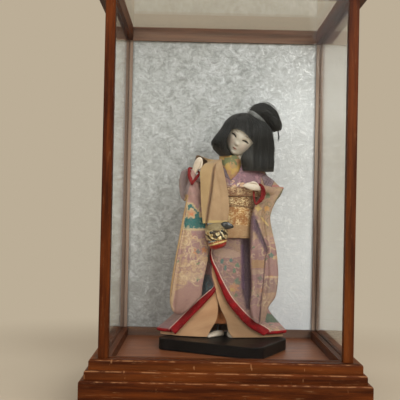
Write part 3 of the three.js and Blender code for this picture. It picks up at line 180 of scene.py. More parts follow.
room = bpy.data.worlds.new("room")
scene.world = room
room.use_nodes = True
room.node_tree.nodes.clear()
start = Socket(room.node_tree)
lit = start.node("Background", links={"Color": (1.0, 0.97, 0.93, 1), "Strength": 0.46})
seen = start.node("Background", links={"Color": dye(*SURROUNDINGS), "Strength": 1.0})
shown = ray(start, "Camera").highest(ray(start, "Glossy")).highest(ray(start, "Transmission"))
start.node("OutputWorld", links={"Surface": start.node("MixShader", links={0: shown, 1: lit, 2: seen})})


def window_light(name, place, aim, size, watts):
    """A soft square light that faces a point."""
    bpy.ops.object.select_all(action="DESELECT")
    bpy.ops.object.light_add(type="AREA", location=place)
    light = bpy.context.object
    light.name = name
    light.data.size = size
    light.data.energy = watts
    light.rotation_euler = (Vector(aim) - Vector(place)).to_track_quat("-Z", "Y").to_euler()


window_light("window_right", (0.75, -1.35, 1.05), (0.0, 0.02, 0.22), 1.1, 23.5)
window_light("window_left", (-0.95, -1.4, 0.75), (0.0, 0.02, 0.25), 0.9, 9.0)
window_light("ceiling", (0.1, 0.1, 1.9), (0.0, 0.0, 0.2), 1.2, 9.0)

# Case wood: base boards, two-step mouldings, posts, rails and cornice are strips of one reddish hardwood,
# mitred and glued, stained dark and varnished by hand. Pale lines along the step edges are painted highlight
# where the rounded edges catch the light, mixed with a few scratches of real wear.
WOOD_DARK = dye(48, 18, 5)
WOOD_MID = dye(93, 43, 12)
WOOD_LIGHT = dye(128, 70, 28)
# Pale wood for the flecks and scratches, also the colour of the painted highlight along the step edges.
WORN_WOOD_AND_HIGHLIGHT = dye(158, 112, 74)
STEP_EDGES = (0.0455, 0.0565, 0.0685)
DUSTY = 0.5
DUSTY_RIGHT = 0.85
DUSTY_LIP = 0.3
DUSTY_RAIL = 0.28
GRAIN_STRETCH = {"X": (9, 150, 150), "Y": (150, 9, 150), "Z": (150, 150, 9)}


def axis(place, name):
    """One axis of a place."""
    return place.node("SeparateXYZ", links={"Vector": place}, out=name)


def noise(place, scale, detail=4.0, rough=0.55):
    """Noise on a place; a scale of three numbers stretches it along the axes."""
    stretch = scale if isinstance(scale, tuple) else (scale, scale, scale)
    stretched = place.node("Mapping", links={"Vector": place, "Scale": stretch})
    values = {"Vector": stretched, "Scale": 1.0, "Detail": detail, "Roughness": rough}
    return place.node("TexNoise", links=values)


def bump(height, strength, depth):
    """The relief that a height gives, with its depth in metres."""
    return height.node("Bump", links={"Strength": strength, "Distance": depth, "Height": height})


def close_finish(tone, roughness, relief, others=None):
    """Puts the shader and the output at the end of a finish's node tree."""
    values = {"Base Color": tone, "Roughness": roughness, "Normal": relief, **(others or {})}
    tone.node("OutputMaterial", links={"Surface": tone.node("BsdfPrincipled", links=values)})


def wood_finish(name, grain, edge_light_and_wear, dusty=0.0, front=0.0):
    """Varnished wood with its grain along one axis. The third argument sets the painted highlight along the
    step edges, where their rounding catches the light, and the scratches of wear; dusty says how much dust
    shows.
    Dust lies on faces near the depth front."""
    made, place = new_finish(name)

    def along_grain(times, detail, rough=0.55):
        return noise(place, tuple(times * value for value in GRAIN_STRETCH[grain]), detail, rough)

    streaks = along_grain(1, 7.0, 0.62)
    pores = along_grain(9, 3.0, 0.6)
    patches = along_grain(0.35, 4.0)
    flecks = along_grain(4.5, 5.0, 0.7)
    tone = streaks.rise(0.3, 0.72).blend(WOOD_DARK, WOOD_MID)
    tone = (patches.rise(0.48, 0.76) * 0.4).blend(tone, WOOD_LIGHT)
    tone = (pores.rise(0.56, 0.7) * 0.6).blend(tone, WOOD_DARK)
    tone = (flecks.rise(0.6, 0.7) * 0.4).blend(tone, WORN_WOOD_AND_HIGHLIGHT)
    if dusty:
        dust = patches.rise(0.2, 0.7) * (1 - axis(place, "Y").rise(front + 0.001, front + 0.004))
        tone = (dusty * dust).blend(tone, dye(196, 176, 158))
    roughness = 0.34 + 0.22 * streaks
    # Painted highlight: pale lines along the rounded step edges where they catch the light, with scratches of
    # wear.
    if edge_light_and_wear:
        height = axis(place, "Z")
        near_edges = [1 - abs(height - edge + 0.0008).rise(0.0003, 0.0008) for edge in STEP_EDGES]
        near_edge = near_edges[0].highest(near_edges[1]).highest(near_edges[2])
        edge_patches = noise(place, (60, 60, 200), 4.0, 0.6).rise(0.44, 0.6)
        edge_highlight = near_edge * edge_patches * edge_light_and_wear
        scratches = noise(place, (260, 40, 70), 2.0).rise(0.7, 0.74) * 0.5
        tone = edge_highlight.highest(scratches).blend(tone, WORN_WOOD_AND_HIGHLIGHT)
        roughness = roughness + 0.25 * edge_highlight
    close_finish(tone, roughness, bump(streaks + 0.5 * pores, 0.35, 0.0004),
                 {"Coat Weight": 0.02, "Coat Roughness": 0.28, "Specular IOR Level": 0.05})
    return made


def wear_finish(material, *nodes):
    """Gives CAD nodes one finish."""
    for node in nodes:
        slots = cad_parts[node].data.materials
        slots.clear()
        slots.append(material)


back_post_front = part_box("post_back_left")[0][1]
wear_finish(wood_finish("base_wood_wide", "X", 0.6), "base_board_front", "base_board_back",
            "step_moulding_front")
wear_finish(wood_finish("dusty_lip_wood", "X", 0.6, DUSTY_LIP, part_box("step_moulding_back")[0][1]),
            "step_moulding_back")
wear_finish(wood_finish("base_wood_deep", "Y", 0.6), "base_board_left", "base_board_right",
            "step_moulding_left", "step_moulding_right")
wear_finish(wood_finish("post_wood", "Z", 0), "post_front_left", "post_front_right")
wear_finish(wood_finish("dusty_post_wood", "Z", 0, DUSTY, back_post_front), "post_back_left")
wear_finish(wood_finish("pale_post_wood", "Z", 0, DUSTY_RIGHT, back_post_front), "post_back_right")
wear_finish(wood_finish("rail_wood_wide", "X", 0), "top_rail_front", "cornice_front", "cornice_back")
wear_finish(wood_finish("dusty_rail_wood", "X", 0, DUSTY_RAIL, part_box("top_rail_back")[0][1]),
            "top_rail_back")
wear_finish(wood_finish("rail_wood_deep", "Y", 0), "top_rail_left", "top_rail_right",
            "cornice_left", "cornice_right")

# Floor board: a thin plywood panel in the case with a satin red-brown stain, on which the doll stands.
# It has paler clouds here and there.
made, place = new_finish("floor_stain")
streaks = noise(place, (14, 220, 1), 6.0, 0.6)
clouds = noise(place, 16.0, 3.0)
tone = streaks.rise(0.3, 0.7).blend(dye(102, 54, 28), dye(140, 82, 48))
tone = (clouds.rise(0.5, 0.75) * 0.5).blend(tone, dye(152, 102, 72))
close_finish(tone, 0.3 + 0.2 * clouds, bump(streaks, 0.2, 0.0003),
             {"Coat Weight": 0.04, "Coat Roughness": 0.2, "Specular IOR Level": 0.3})
wear_finish(made, "floor_board")

# Panes: four sheets of 2 mm window glass, three set in grooves and the front one loose in its grooves.
# They are clear with a faint grey film, and mirror the room at a flat angle.
GLASS_TINT = (0.965, 0.972, 0.968, 1)
FILM = 0.0014
made, place = new_finish("window_glass")
clear = place.node("BsdfTransparent", links={"Color": GLASS_TINT})
mirror = place.node("BsdfGlossy", links={"Color": (1, 1, 1, 1), "Roughness": 0.02})
flat_on = place.node("LayerWeight", links={"Blend": 0.5}, out="Facing")
bare = place.node("MixShader", links={0: 0.003 + 0.85 * flat_on**5, 1: clear, 2: mirror})
dust = place.node("BsdfDiffuse", links={"Color": (0.8, 0.8, 0.78, 1)})
smears = noise(place, (30, 30, 9)).rise(0.45, 0.8)
filmed = place.node("MixShader", links={0: FILM * (0.5 + smears), 1: bare, 2: dust})
place.node("OutputMaterial", links={"Surface": filmed})
wear_finish(made, "left_glass", "right_glass", "top_glass", "front_glass")

# Back: a raw plywood board set in the back posts, lined on the inside with silver paper.
# The paper is crinkled all over with a grainy glitter; painted shade darkens it towards the left and painted
# light brightens it towards the right.
made, place = new_finish("raw_plywood")
streaks = noise(place, (160, 160, 7), 6.0, 0.6)
clouds = noise(place, 12.0, 3.0)
tone = streaks.rise(0.3, 0.7).blend(dye(132, 98, 62), dye(176, 140, 96))
tone = (clouds.rise(0.45, 0.7) * 0.4).blend(tone, dye(118, 88, 58))
close_finish(tone, 0.75, bump(streaks, 0.4, 0.0004))
wear_finish(made, "back_board")


def drifted(place, scale, reach):
    """A place that is pulled about by noise, up to half a reach along each axis."""
    drift = place.node("TexNoise", links={"Vector": place, "Scale": scale, "Detail": 3.0}, out="Color")
    return place.vector("ADD", drift.vector("SUBTRACT", (0.5, 0.5, 0.5)).vector("MULTIPLY", reach))


made, place = new_finish("silver_glitter")
across = axis(place, "X")
height = axis(place, "Z")
smeared = drifted(place, 45.0, (0.03, 0.03, 0.03))
creased = drifted(place, 45.0, (0.02, 0.02, 0.02))
blotches = noise(smeared, 75.0, 4.0, 0.6)
crinkle = noise(creased, (170, 1, 230), 5.0, 0.62)
clouds = noise(place, 22.0, 4.0, 0.6)
lines = noise(creased, (300, 1, 90)).highest(noise(creased, (80, 1, 280)))
tone = (0.45 * blotches + 0.55 * crinkle).rise(0.32, 0.64).blend(dye(146, 148, 146), dye(213, 216, 217))
tone = (clouds.rise(0.42, 0.7) * 0.4).blend(tone, dye(164, 166, 162))
# Painted shade towards the left and low on the left; painted light towards the right, brightest low down.
painted_left_shade = 1 - across.rise(-0.14, 0.09)
tone = (painted_left_shade * 0.4).blend(tone, dye(150, 150, 143))
painted_low_left_shade = (1 - across.rise(-0.12, 0.0)) * (1 - height.rise(0.08, 0.26))
tone = (painted_low_left_shade * 0.25).blend(tone, dye(134, 130, 122))
right = across.rise(0.03, 0.11)
tone = (right * (1 - 0.7 * height.rise(0.38, 0.5)) * 0.66).blend(tone, dye(236, 239, 240))
painted_low_right_light = right * (1 - height.rise(0.12, 0.34))
tone = (painted_low_right_light * 0.7).blend(tone, dye(246, 252, 255))
# Painted glints where the creases cross, strongest on the lit right.
glints = lines.rise(0.52, 0.66) * crinkle.rise(0.4, 0.58) * blotches.rise(0.35, 0.6)
tone = (glints * (0.25 + 0.75 * right)).blend(tone, dye(252, 254, 255))
specks = noise(smeared, 300.0, 2.0).rise(0.7, 0.76) * blotches.rise(0.4, 0.6)
tone = (specks * 0.6).blend(tone, dye(106, 104, 98))
close_finish(tone, 0.36 + 0.2 * crinkle, bump(crinkle + 0.7 * lines, 0.45, 0.0012), {"Metallic": 0.12})
wear_finish(made, "silver_paper")

# Plinth: a block of wood with rounded corners under black lacquer, turned a little to the right.
# The doll's leg wires are driven into it, and it stands loose on the floor board.
made, place = new_finish("black_lacquer")
clouds = noise(place, 60.0)
dust = noise(place, 900.0, 2.0).rise(0.6, 0.75)
tone = clouds.rise(0.35, 0.7).blend(dye(9, 6, 6), dye(18, 13, 12))
tone = (dust * 0.05).blend(tone, dye(90, 80, 76))
close_finish(tone, 0.32 + 0.2 * clouds + 0.2 * dust, bump(clouds, 0.12, 0.0004),
             {"Specular IOR Level": 0.12})
wear_finish(made, "plinth")

# Wires: soft iron wire that holds the limbs, hidden in the clothes.
# It is bare, dull grey and a little rusty.
made, place = new_finish("iron_wire")
rust = noise(place, 320.0).rise(0.5, 0.7)
tone = rust.blend(dye(112, 112, 112), dye(120, 78, 52))
close_finish(tone, 0.35 + 0.35 * rust, bump(rust, 0.3, 0.0002), {"Metallic": 0.9 - 0.7 * rust})
wear_finish(made, "leg_wire_right", "leg_wire_left", "arm_wire_right", "arm_wire_left")

# Feet: carved wood under a shell-white coat, in white split-toed socks, set on the leg wires.
# Only the toes show under the hem.
low_corner, high_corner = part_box("plinth")
STAND = Vector(((low_corner[0] + high_corner[0]) / 2, (low_corner[1] + high_corner[1]) / 2, low_corner[2]))
SOLE = 15.4
FLAT_SOLE = 0.72
FOOT_SECTIONS = ((-7, 2.2, 2.4), (-5.6, 4.2, 4.0), (-3, 5.0, 4.6), (3, 5.2, 4.7), (9, 6.0, 4.2),
                 (14, 6.2, 3.6), (19, 5.7, 3.1), (22, 4.3, 2.5), (23.2, 2.4, 1.6))
TOE_SPLIT = 1.6


def spot(x, y, z):
    """A point of the doll, in millimetres from the middle of the plinth's underside."""
    return STAND + Vector((x, y, z)) / 1000


def all_round(count):
    """Evenly spaced angles round a full turn."""
    return [math.tau * step / count for step in range(count)]


def near(away, width):
    """1 at no distance away, fading out on both sides over a width."""
    return math.exp(-(away / width) ** 2)


def take_up(piece):
    """Selects one piece alone and makes it the active one."""
    bpy.ops.object.select_all(action="DESELECT")
    piece.select_set(True)
    bpy.context.view_layer.objects.active = piece


def on_doll(piece, node, finish=None):
    """Puts a piece on the doll's body, the CAD node that it replaces and its finish."""
    if finish:
        piece.data.materials.append(finish)
    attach(piece, "doll")
    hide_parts(node)


def drawn_out(name, rings):
    """A rigid piece: a disc that is extruded from ring to ring and closed at both ends."""
    bpy.ops.object.select_all(action="DESELECT")
    bpy.ops.mesh.primitive_circle_add(vertices=len(rings[0]), fill_type="NGON")
    piece = bpy.context.object
    piece.name = name
    piece.data.name = name
    for corner, point in zip(piece.data.vertices, rings[0]):
        corner.co = point
    bpy.ops.object.mode_set(mode="EDIT")
    bpy.ops.mesh.select_all(action="SELECT")
    for ring in rings[1:]:
        bpy.ops.mesh.extrude_region_move()
        bpy.ops.object.mode_set(mode="OBJECT")
        moved = [corner for corner in piece.data.vertices if corner.select]
        for corner, point in zip(moved, ring):
            corner.co = point
        bpy.ops.object.mode_set(mode="EDIT")
    bpy.ops.mesh.select_all(action="SELECT")
    bpy.ops.mesh.normals_make_consistent(inside=False)
    bpy.ops.object.mode_set(mode="OBJECT")
    return piece


def reshaped(piece, kind, **settings):
    """Puts one modifier on a piece and applies it."""
    take_up(piece)
    change = piece.modifiers.new(kind, kind)
    for name, value in settings.items():
        setattr(change, name, value)
    bpy.ops.object.modifier_apply(modifier=change.name)


def rounded(piece, levels=1):
    """Subdivides a piece into a smooth surface for good."""
    reshaped(piece, "SUBSURF", levels=levels, render_levels=levels)
    bpy.ops.object.shade_smooth()
    return piece


def joined(name, pieces):
    """Several meshes made one piece."""
    bpy.ops.object.select_all(action="DESELECT")
    for piece in pieces:
        piece.select_set(True)
    bpy.context.view_layer.objects.active = pieces[0]
    bpy.ops.object.join()
    pieces[0].name = name
    pieces[0].data.name = name
    return pieces[0]


def shell_white(name, light, dark, paint=None):
    """White powdered-shell coat, yellowed a little; paint adds marks to its colour."""
    made, place = new_finish(name)
    clouds = noise(place, 70.0)
    fine = noise(place, 900.0, 2.0)
    tone = clouds.rise(0.35, 0.72).blend(light, dark)
    if paint:
        tone = paint(tone)
    close_finish(tone, 0.48 + 0.12 * fine, bump(fine, 0.12, 0.0002),
                 {"Subsurface Weight": 0.05, "Subsurface Radius": (0.004, 0.0025, 0.002)})
    return made


skin_white = shell_white("shell_white", dye(218, 203, 183), dye(198, 179, 156))


def foot(name, heel_x, heel_y, splay, node):
    """One socked foot, its toes towards the front and turned out."""
    rings = []
    for ahead_of_heel, half_width, half_height in FOOT_SECTIONS:
        ring = []
        for angle in all_round(16):
            across = half_width * math.cos(angle)
            rise = half_height * math.sin(angle)
            rise = max(rise, -FLAT_SOLE * half_height) + FLAT_SOLE * half_height
            toes = max(0.0, (ahead_of_heel - 12) / 11)
            groove = near(across - TOE_SPLIT, 0.9)
            rise -= 1.5 * toes * groove if rise > half_height * 0.5 else 0
            x = across * math.cos(splay) + ahead_of_heel * math.sin(splay)
            y = across * math.sin(splay) - ahead_of_heel * math.cos(splay)
            ring.append(spot(heel_x + x, heel_y + y, SOLE + rise))
        rings.append(ring)
    piece = rounded(drawn_out(name, rings))
    on_doll(piece, node, skin_white)


foot("sock_right", -4.5, 13, math.radians(-45), "foot_right")
foot("sock_left", 11, 19.5, math.radians(4), "foot_left")

# Body: a core of straw and cotton wool bound on the wires, which fills out the robe.
# It is hidden by the clothes.
CORE = ((122, 10, 10, 17, 12, 12), (150, 13, 8, 19, 13, 13), (185, 14, 8, 19.5, 13.5, 13),
        (214, 14.5, 8, 25, 13, 12.5), (230, 14.5, 8.5, 30, 10, 11), (240, 14.5, 9, 22, 8, 9.5))


def along(table, key):
    """A table's row at a value of its first column, on a smooth curve through its rows."""
    rows = sorted(table)
    key = min(max(key, rows[0][0]), rows[-1][0])
    after = 1
    while after < len(rows) - 1 and rows[after][0] < key:
        after += 1
    first, second = rows[after - 1], rows[after]
    before = rows[max(after - 2, 0)]
    beyond = rows[min(after + 1, len(rows) - 1)]
    span = second[0] - first[0]
    share = (key - first[0]) / span
    row = [key]
    for column in range(1, len(first)):
        slope_in = (second[column] - before[column]) / (second[0] - before[0])
        slope_out = (beyond[column] - first[column]) / (beyond[0] - first[0])
        row.append((2 * share**3 - 3 * share**2 + 1) * first[column]
                   + (share**3 - 2 * share**2 + share) * span * slope_in
                   + (3 * share**2 - 2 * share**3) * second[column]
                   + (share**3 - share**2) * span * slope_out)
    return row


def oval(row, angle, out=0.0):
    """A point on a table row's oval: angle 0 is the front and a quarter turn is the right."""
    height, middle_x, middle_y, half_width, front, back = row
    depth = front if math.cos(angle) > 0 else back
    across = (half_width + out) * math.sin(angle)
    return (middle_x + across, middle_y - (depth + out) * math.cos(angle), height)


def spread(first, last, count):
    """Evenly spaced values, both ends among them."""
    return [first + (last - first) * step / (count - 1) for step in range(count)]


def heights(table, count):
    """Evenly spaced values over a table's first column."""
    return spread(min(table)[0], max(table)[0], count)


def oval_rings(table, levels, sides, out=lambda height, angle: 0.0):
    """Rings of points round a table's ovals; out says how far a point stands off them."""
    rings = []
    for height in levels:
        row = along(table, height)
        rings.append([spot(*oval(row, angle, out(height, angle))) for angle in all_round(sides)])
    return rings


body = rounded(drawn_out("stuffed_body", oval_rings(CORE, heights(CORE, 14), 24)))
made, place = new_finish("cotton_stuffing")
wads = noise(place, 240.0, 5.0)
tone = wads.rise(0.3, 0.7).blend(dye(176, 160, 130), dye(224, 212, 188))
close_finish(tone, 0.95, bump(wads, 0.6, 0.001))
on_doll(body, "body_core", made)

# Hands: carved wood under the shell-white coat, on the ends of the arm wires.
# The right one is raised at the shoulder with its fingers bent, the left one lies flat on the obi.
RIGHT_PALM = ((-44.4, -12.6, 233, 2.6, 2.6), (-43.8, -13.1, 237, 3.0, 3.0),
              (-42.2, -13.8, 241.6, 4.2, 3.6), (-40.0, -14.4, 246, 5.2, 3.8),
              (-38.2, -14.8, 250, 5.6, 3.8), (-36.8, -15.2, 253.4, 5.2, 3.5),
              (-35.8, -15.6, 256.4, 3.8, 2.8), (-35.2, -15.8, 258.2, 1.7, 1.5))
RIGHT_THUMB = ((-37.4, -16.6, 241, 1.6, 1.6), (-35.0, -18.2, 244.6, 1.8, 1.8),
               (-33.6, -18.8, 248.6, 1.7, 1.7), (-33.4, -18.8, 252, 1.2, 1.2),
               (-33.6, -18.7, 253.6, 0.6, 0.6))
LEFT_PALM = ((48, -21.2, 218.4, 2.8, 2.6), (43.5, -23.4, 219.0, 4.4, 3.0), (39, -25.2, 219.9, 5.6, 3.3),
             (34.5, -26.6, 220.6, 5.7, 3.2), (30, -27.9, 221.0, 4.8, 2.8), (26, -28.7, 221.1, 3.3, 2.2),
             (23.2, -29.3, 221.1, 1.7, 1.4), (21.8, -29.6, 221.1, 0.6, 0.6))
LEFT_THUMB = ((41, -26.0, 223.0, 1.4, 1.4), (37.5, -28.0, 225.4, 1.7, 1.6),
              (33.5, -29.6, 225.6, 1.5, 1.4), (30.6, -30.3, 224.9, 0.7, 0.7))
FINGER_GROOVES = (-0.5, 0.0, 0.5)
GROOVE_DEPTH = 0.24


def bent_tube(name, sections, sides, upright=Vector((0, 0, 1)), grooves=0.0):
    """A limb or roll through a row of places, each with its half width and half height."""
    places = [spot(*section[:3]) for section in sections]
    rings = []
    for index, (middle, section) in enumerate(zip(places, sections)):
        forward = places[min(index + 1, len(places) - 1)] - places[max(index - 1, 0)]
        across = forward.cross(upright).normalized()
        over = across.cross(forward).normalized()
        tip = max(0.0, index / (len(sections) - 1) - 0.4) / 0.6
        ring = []
        for angle in all_round(sides):
            wide = math.cos(angle)
            dent = sum(near(wide - groove, 0.11) for groove in FINGER_GROOVES)
            size = 1 - grooves * tip * dent
            ring.append(middle + across * (section[3] * wide / 1000)
                        + over * (section[4] * size * math.sin(angle) / 1000))
        rings.append(ring)
    return drawn_out(name, rings)


def finished_hand(name, palm, thumb, upright, node):
    """Palm with finger grooves and a thumb as one carved piece."""
    carved = [bent_tube(name, palm, 28, upright, GROOVE_DEPTH), bent_tube("thumb", thumb, 12, upright)]
    piece = rounded(joined(name, carved))
    on_doll(piece, node, skin_white)


finished_hand("palm_right", RIGHT_PALM, RIGHT_THUMB, Vector((0, -1, 0)), "hand_right")
finished_hand("palm_left", LEFT_PALM, LEFT_THUMB, Vector((0, -1, 0.2)), "hand_left")

# Head: carved wood under many coats of powdered shell, on a neck peg that is glued into the body.
# Eyes, brows and mouth are cut shallow and painted; the head leans right, looks down and to the left.
HEAD_MIDDLE = (22.8, -0.5, 289.2)
HEAD_TURNS = (("Y", 31.5), ("Z", -11), ("X", 33))
HEAD_ROWS = ((-25.6, -9.4, 3.0, 3.0, 3.0), (-24.8, -9.2, 5.8, 5.4, 5.5), (-23, -8.4, 9.4, 8.0, 8.4),
             (-19, -6.4, 14.4, 11.4, 12.4), (-13, -3.8, 18.8, 14.6, 16), (-6, -1.4, 21.8, 17.2, 19),
             (0, 0, 22.8, 18.6, 21), (6, 1.2, 22.4, 19.2, 22), (11, 1.8, 20.4, 17.0, 20),
             (16, 2, 16.6, 13.0, 17), (20, 2, 11.8, 9, 12.6), (22.6, 2, 6.2, 5.4, 6.8),
             (23.6, 2, 2.6, 2.6, 2.8))
NECK = ((14.5, 9, 232, 7, 6.5), (14.8, 8.7, 244, 7, 6.5), (16, 8, 254, 7.2, 7), (18.5, 6.5, 264, 8, 8),
        (21, 5, 272, 8, 8))
PRESSES = (
    ((0, -24, -6.2), (0, -1.7, -0.4), 4.6), ((0, -24, -1.5), (0, -0.9, 0), 4.2),
    ((0, -24, 3), (0, -0.4, 0), 4.0),
    ((-9, -20, 3), (0, 1.5, 0), 5.5), ((9, -20, 3), (0, 1.5, 0), 5.5),
    ((-10, -18, -7), (0, -0.6, 0), 8.0), ((10, -18, -7), (0, -0.6, 0), 8.0),
    ((0, -22, -9.4), (0, 0.5, 0), 3.4), ((0, -22, -12.8), (0, -0.8, 0), 3.6),
    ((0, -20, -16.6), (0, 0.5, 0), 3.4), ((0, -18, -21), (0, -1.2, 0), 6.0),
    ((-8.6, -20, 7), (0, -0.7, 0), 5.0), ((8.6, -20, 7), (0, -0.7, 0), 5.0),
)
EYES = ((-9.0, 2.8), (9.0, 2.8))
OFF_THE_FACE = 100


def press(piece, place, move, reach):
    """Pushes the surface nearest a place, as a thumb does in clay; the push fades out over its reach."""
    target = Vector(place) / 1000
    nearest = min(piece.data.vertices, key=lambda corner: (corner.co - target).length).index
    bpy.ops.object.mode_set(mode="EDIT")
    bpy.ops.mesh.select_all(action="DESELECT")
    bpy.ops.object.mode_set(mode="OBJECT")
    piece.data.vertices[nearest].select = True
    bpy.ops.object.mode_set(mode="EDIT")
    bpy.ops.transform.translate(value=Vector(move) / 1000, use_proportional_edit=True,
                                proportional_edit_falloff="SMOOTH", proportional_size=reach / 1000)
    bpy.ops.object.mode_set(mode="OBJECT")


head_rings = []
for height in heights(HEAD_ROWS, 26):
    row = along(HEAD_ROWS, height)
    row.insert(1, 0)
    head_rings.append([Vector(oval(row, angle)) / 1000 for angle in all_round(48)])
head = rounded(drawn_out("carved_head", head_rings))
for place, move, reach in PRESSES:
    press(head, place, move, reach)
paint_map = head.data.uv_layers.new(name="paint")
for loop in head.data.loops:
    corner = head.data.vertices[loop.vertex_index].co * 1000
    paint_map.data[loop.index].uv = (corner.x + (OFF_THE_FACE if corner.y > 0 else 0), corner.z)
head_turn = Matrix.Translation(spot(*HEAD_MIDDLE))
for turn_axis, degrees in HEAD_TURNS:
    head_turn = head_turn @ Matrix.Rotation(math.radians(degrees), 4, turn_axis)
head.data.transform(head_turn)
neck = rounded(bent_tube("neck", NECK, 24))
head = joined("carved_head", [head, neck])


def face_paint(tone):
    """Painted eyes, brows and mouth, and painted shade under the nose,
    placed in millimetres on the front of the head.
    """
    paper = tone.node("UVMap", {"uv_map": "paint"})
    across = axis(paper, "X")
    height = axis(paper, "Y")

    def stroke(middle_x, middle_z, half_width, half_height, bend, soft=0.35, slope=0.0):
        away = across - middle_x
        lift = height - middle_z - bend * away * away - slope * away
        size = (away / half_width) ** 2 + (lift / half_height) ** 2
        return 1 - size.rise(1 - soft, 1 + soft)

    for eye_x, eye_z in EYES:
        outer = 1 if eye_x > 0 else -1
        tone = (stroke(eye_x + 2 * outer, -7, 7.5, 6.5, 0, 0.9) * 0.16).blend(tone, dye(214, 150, 132))
        tone = (stroke(eye_x, eye_z + 0.4, 5.0, 2.6, -0.03, 0.6, -0.1) * 0.25).blend(tone, dye(140, 120, 100))
        tone = stroke(eye_x, eye_z, 4.7, 1.3, -0.03, 0.4, -0.1).blend(tone, dye(26, 20, 17))
        brow = stroke(eye_x + 0.5 * outer, eye_z + 6.4, 4.6, 0.55, -0.03)
        tone = (brow * 0.55).blend(tone, dye(110, 92, 76))
    # Painted shade under the tip of the nose.
    tone = (stroke(0, -8.4, 2.6, 0.9, 0.1, 0.9) * 0.5).blend(tone, dye(140, 108, 86))
    tone = (stroke(0, -13.0, 3.0, 1.4, -0.04, 0.6) * 0.75).blend(tone, dye(184, 112, 96))
    tone = (stroke(0, -12.9, 3.0, 0.45, 0.05) * 0.9).blend(tone, dye(104, 58, 48))
    return tone


finish = shell_white("painted_face", dye(208, 200, 184), dye(192, 181, 163), face_paint)
on_doll(head, "head", finish)

# Hair: black silk threads glued to the head in rows, combed down from the crown and cut to a bob
# with a straight fringe. The mass is one body with loose threads laid over it.
HAIR_ROWS = ((242, 41.5, 2, 23, 16, 21), (246, 41.5, 2, 23.6, 18, 22.5), (254, 36.6, 3, 29.5, 20.5, 25),
             (262, 28.4, 4, 37, 22, 28), (270, 24, 4, 41.2, 23, 30), (279, 21.8, 3, 42.6, 24.5, 31),
             (288, 23.5, 3, 39.5, 27, 31), (298, 26, 3, 34.5, 26, 29), (308, 25.4, 3, 28, 22, 24.6),
             (315.5, 23, 3, 19, 15.5, 17.5), (319.6, 23, 3, 11.5, 10, 11), (321.5, 23, 3, 5, 5, 5))
FACE_WINDOW = ((5.4, 297.3), (11.6, 297.8), (17.2, 295.5), (22, 292.9), (26.8, 288.2), (35.2, 278.9),
               (27.6, 270.3), (21.6, 264.9), (19, 258.3), (20.9, 249), (23, 234), (-17, 234),
               (-17, 262.6), (-6, 261.8), (4, 262), (5.6, 264), (-0.6, 271.7), (-1.6, 280.3),
               (2.8, 291.6))
WINDOW_DEPTH = (-60.0, 3.0)
STRAIGHT_FROM = 281
THREADS = 900
THREAD_RUN = (320, 80, 34)
STRAYS = 130
STRAY_OVERHANG = 2.4
SHORTEST = 5
THREAD_RADIUS = 0.24
RIDGES = 60
HAIR_CREASE = math.radians(40)


def inside(shape, x, z):
    """Whether a point lies in a closed outline."""
    within = False
    for (x1, z1), (x2, z2) in zip(shape, shape[1:] + shape[:1]):
        if (z1 > z) != (z2 > z) and x < x1 + (z - z1) * (x2 - x1) / (z2 - z1):
            within = not within
    return within


def cut_height(x):
    """Where the bob is cut at a place across: high at its left tip, low at the right."""
    return max(243.5, 277.5 - 0.76 * (x + 21.0))


def hang_angle(height, angle):
    """The angle at which a thread that left the crown at an angle passes a height, falling straight."""
    if height > STRAIGHT_FROM:
        return angle
    top, row = along(HAIR_ROWS, STRAIGHT_FROM), along(HAIR_ROWS, height)
    x = top[1] + top[3] * math.sin(angle)
    share = max(-1.0, min(1.0, (x - row[1]) / row[3]))
    return math.asin(share) if math.cos(angle) > 0 else math.pi - math.asin(share)


def closed_up(piece, seam=0.0):
    """Merges a mesh's seams, turns its faces outwards and shades it smooth."""
    take_up(piece)
    bpy.ops.object.mode_set(mode="EDIT")
    bpy.ops.mesh.select_all(action="SELECT")
    if seam:
        bpy.ops.mesh.remove_doubles(threshold=seam)
    bpy.ops.mesh.normals_make_consistent(inside=False)
    bpy.ops.object.mode_set(mode="OBJECT")
    bpy.ops.object.shade_smooth()
    return piece


def from_corners(name, corners, faces):
    """A mesh from its corners and faces."""
    mesh = bpy.data.meshes.new(name)
    mesh.from_pydata([tuple(corner) for corner in corners], [], faces)
    piece = bpy.data.objects.new(name, mesh)
    bpy.context.collection.objects.link(piece)
    return piece


def threads_mesh(name, paths):
    """Many fine threads as one mesh, each a three-sided strand that thins towards its end."""
    corners = []
    faces = []
    for path in paths:
        first = len(corners)
        for index, point in enumerate(path):
            forward = path[min(index + 1, len(path) - 1)] - path[max(index - 1, 0)]
            across = forward.cross(Vector((0.31, 0.62, 0.72))).normalized()
            over = across.cross(forward).normalized()
            thick = THREAD_RADIUS / 1000 * (1 - 0.75 * (index / (len(path) - 1)) ** 2)
            for angle in all_round(3):
                corners.append(point + (across * math.cos(angle) + over * math.sin(angle)) * thick)
        for index in range(len(path) - 1):
            for step in range(3):
                a = first + index * 3 + step
                b = first + index * 3 + (step + 1) % 3
                faces.append((a, b, b + 3, a + 3))
        faces.append((first + 2, first + 1, first))
        last = first + 3 * (len(path) - 1)
        faces.append((last, last + 1, last + 2))
    return closed_up(from_corners(name, corners, faces))


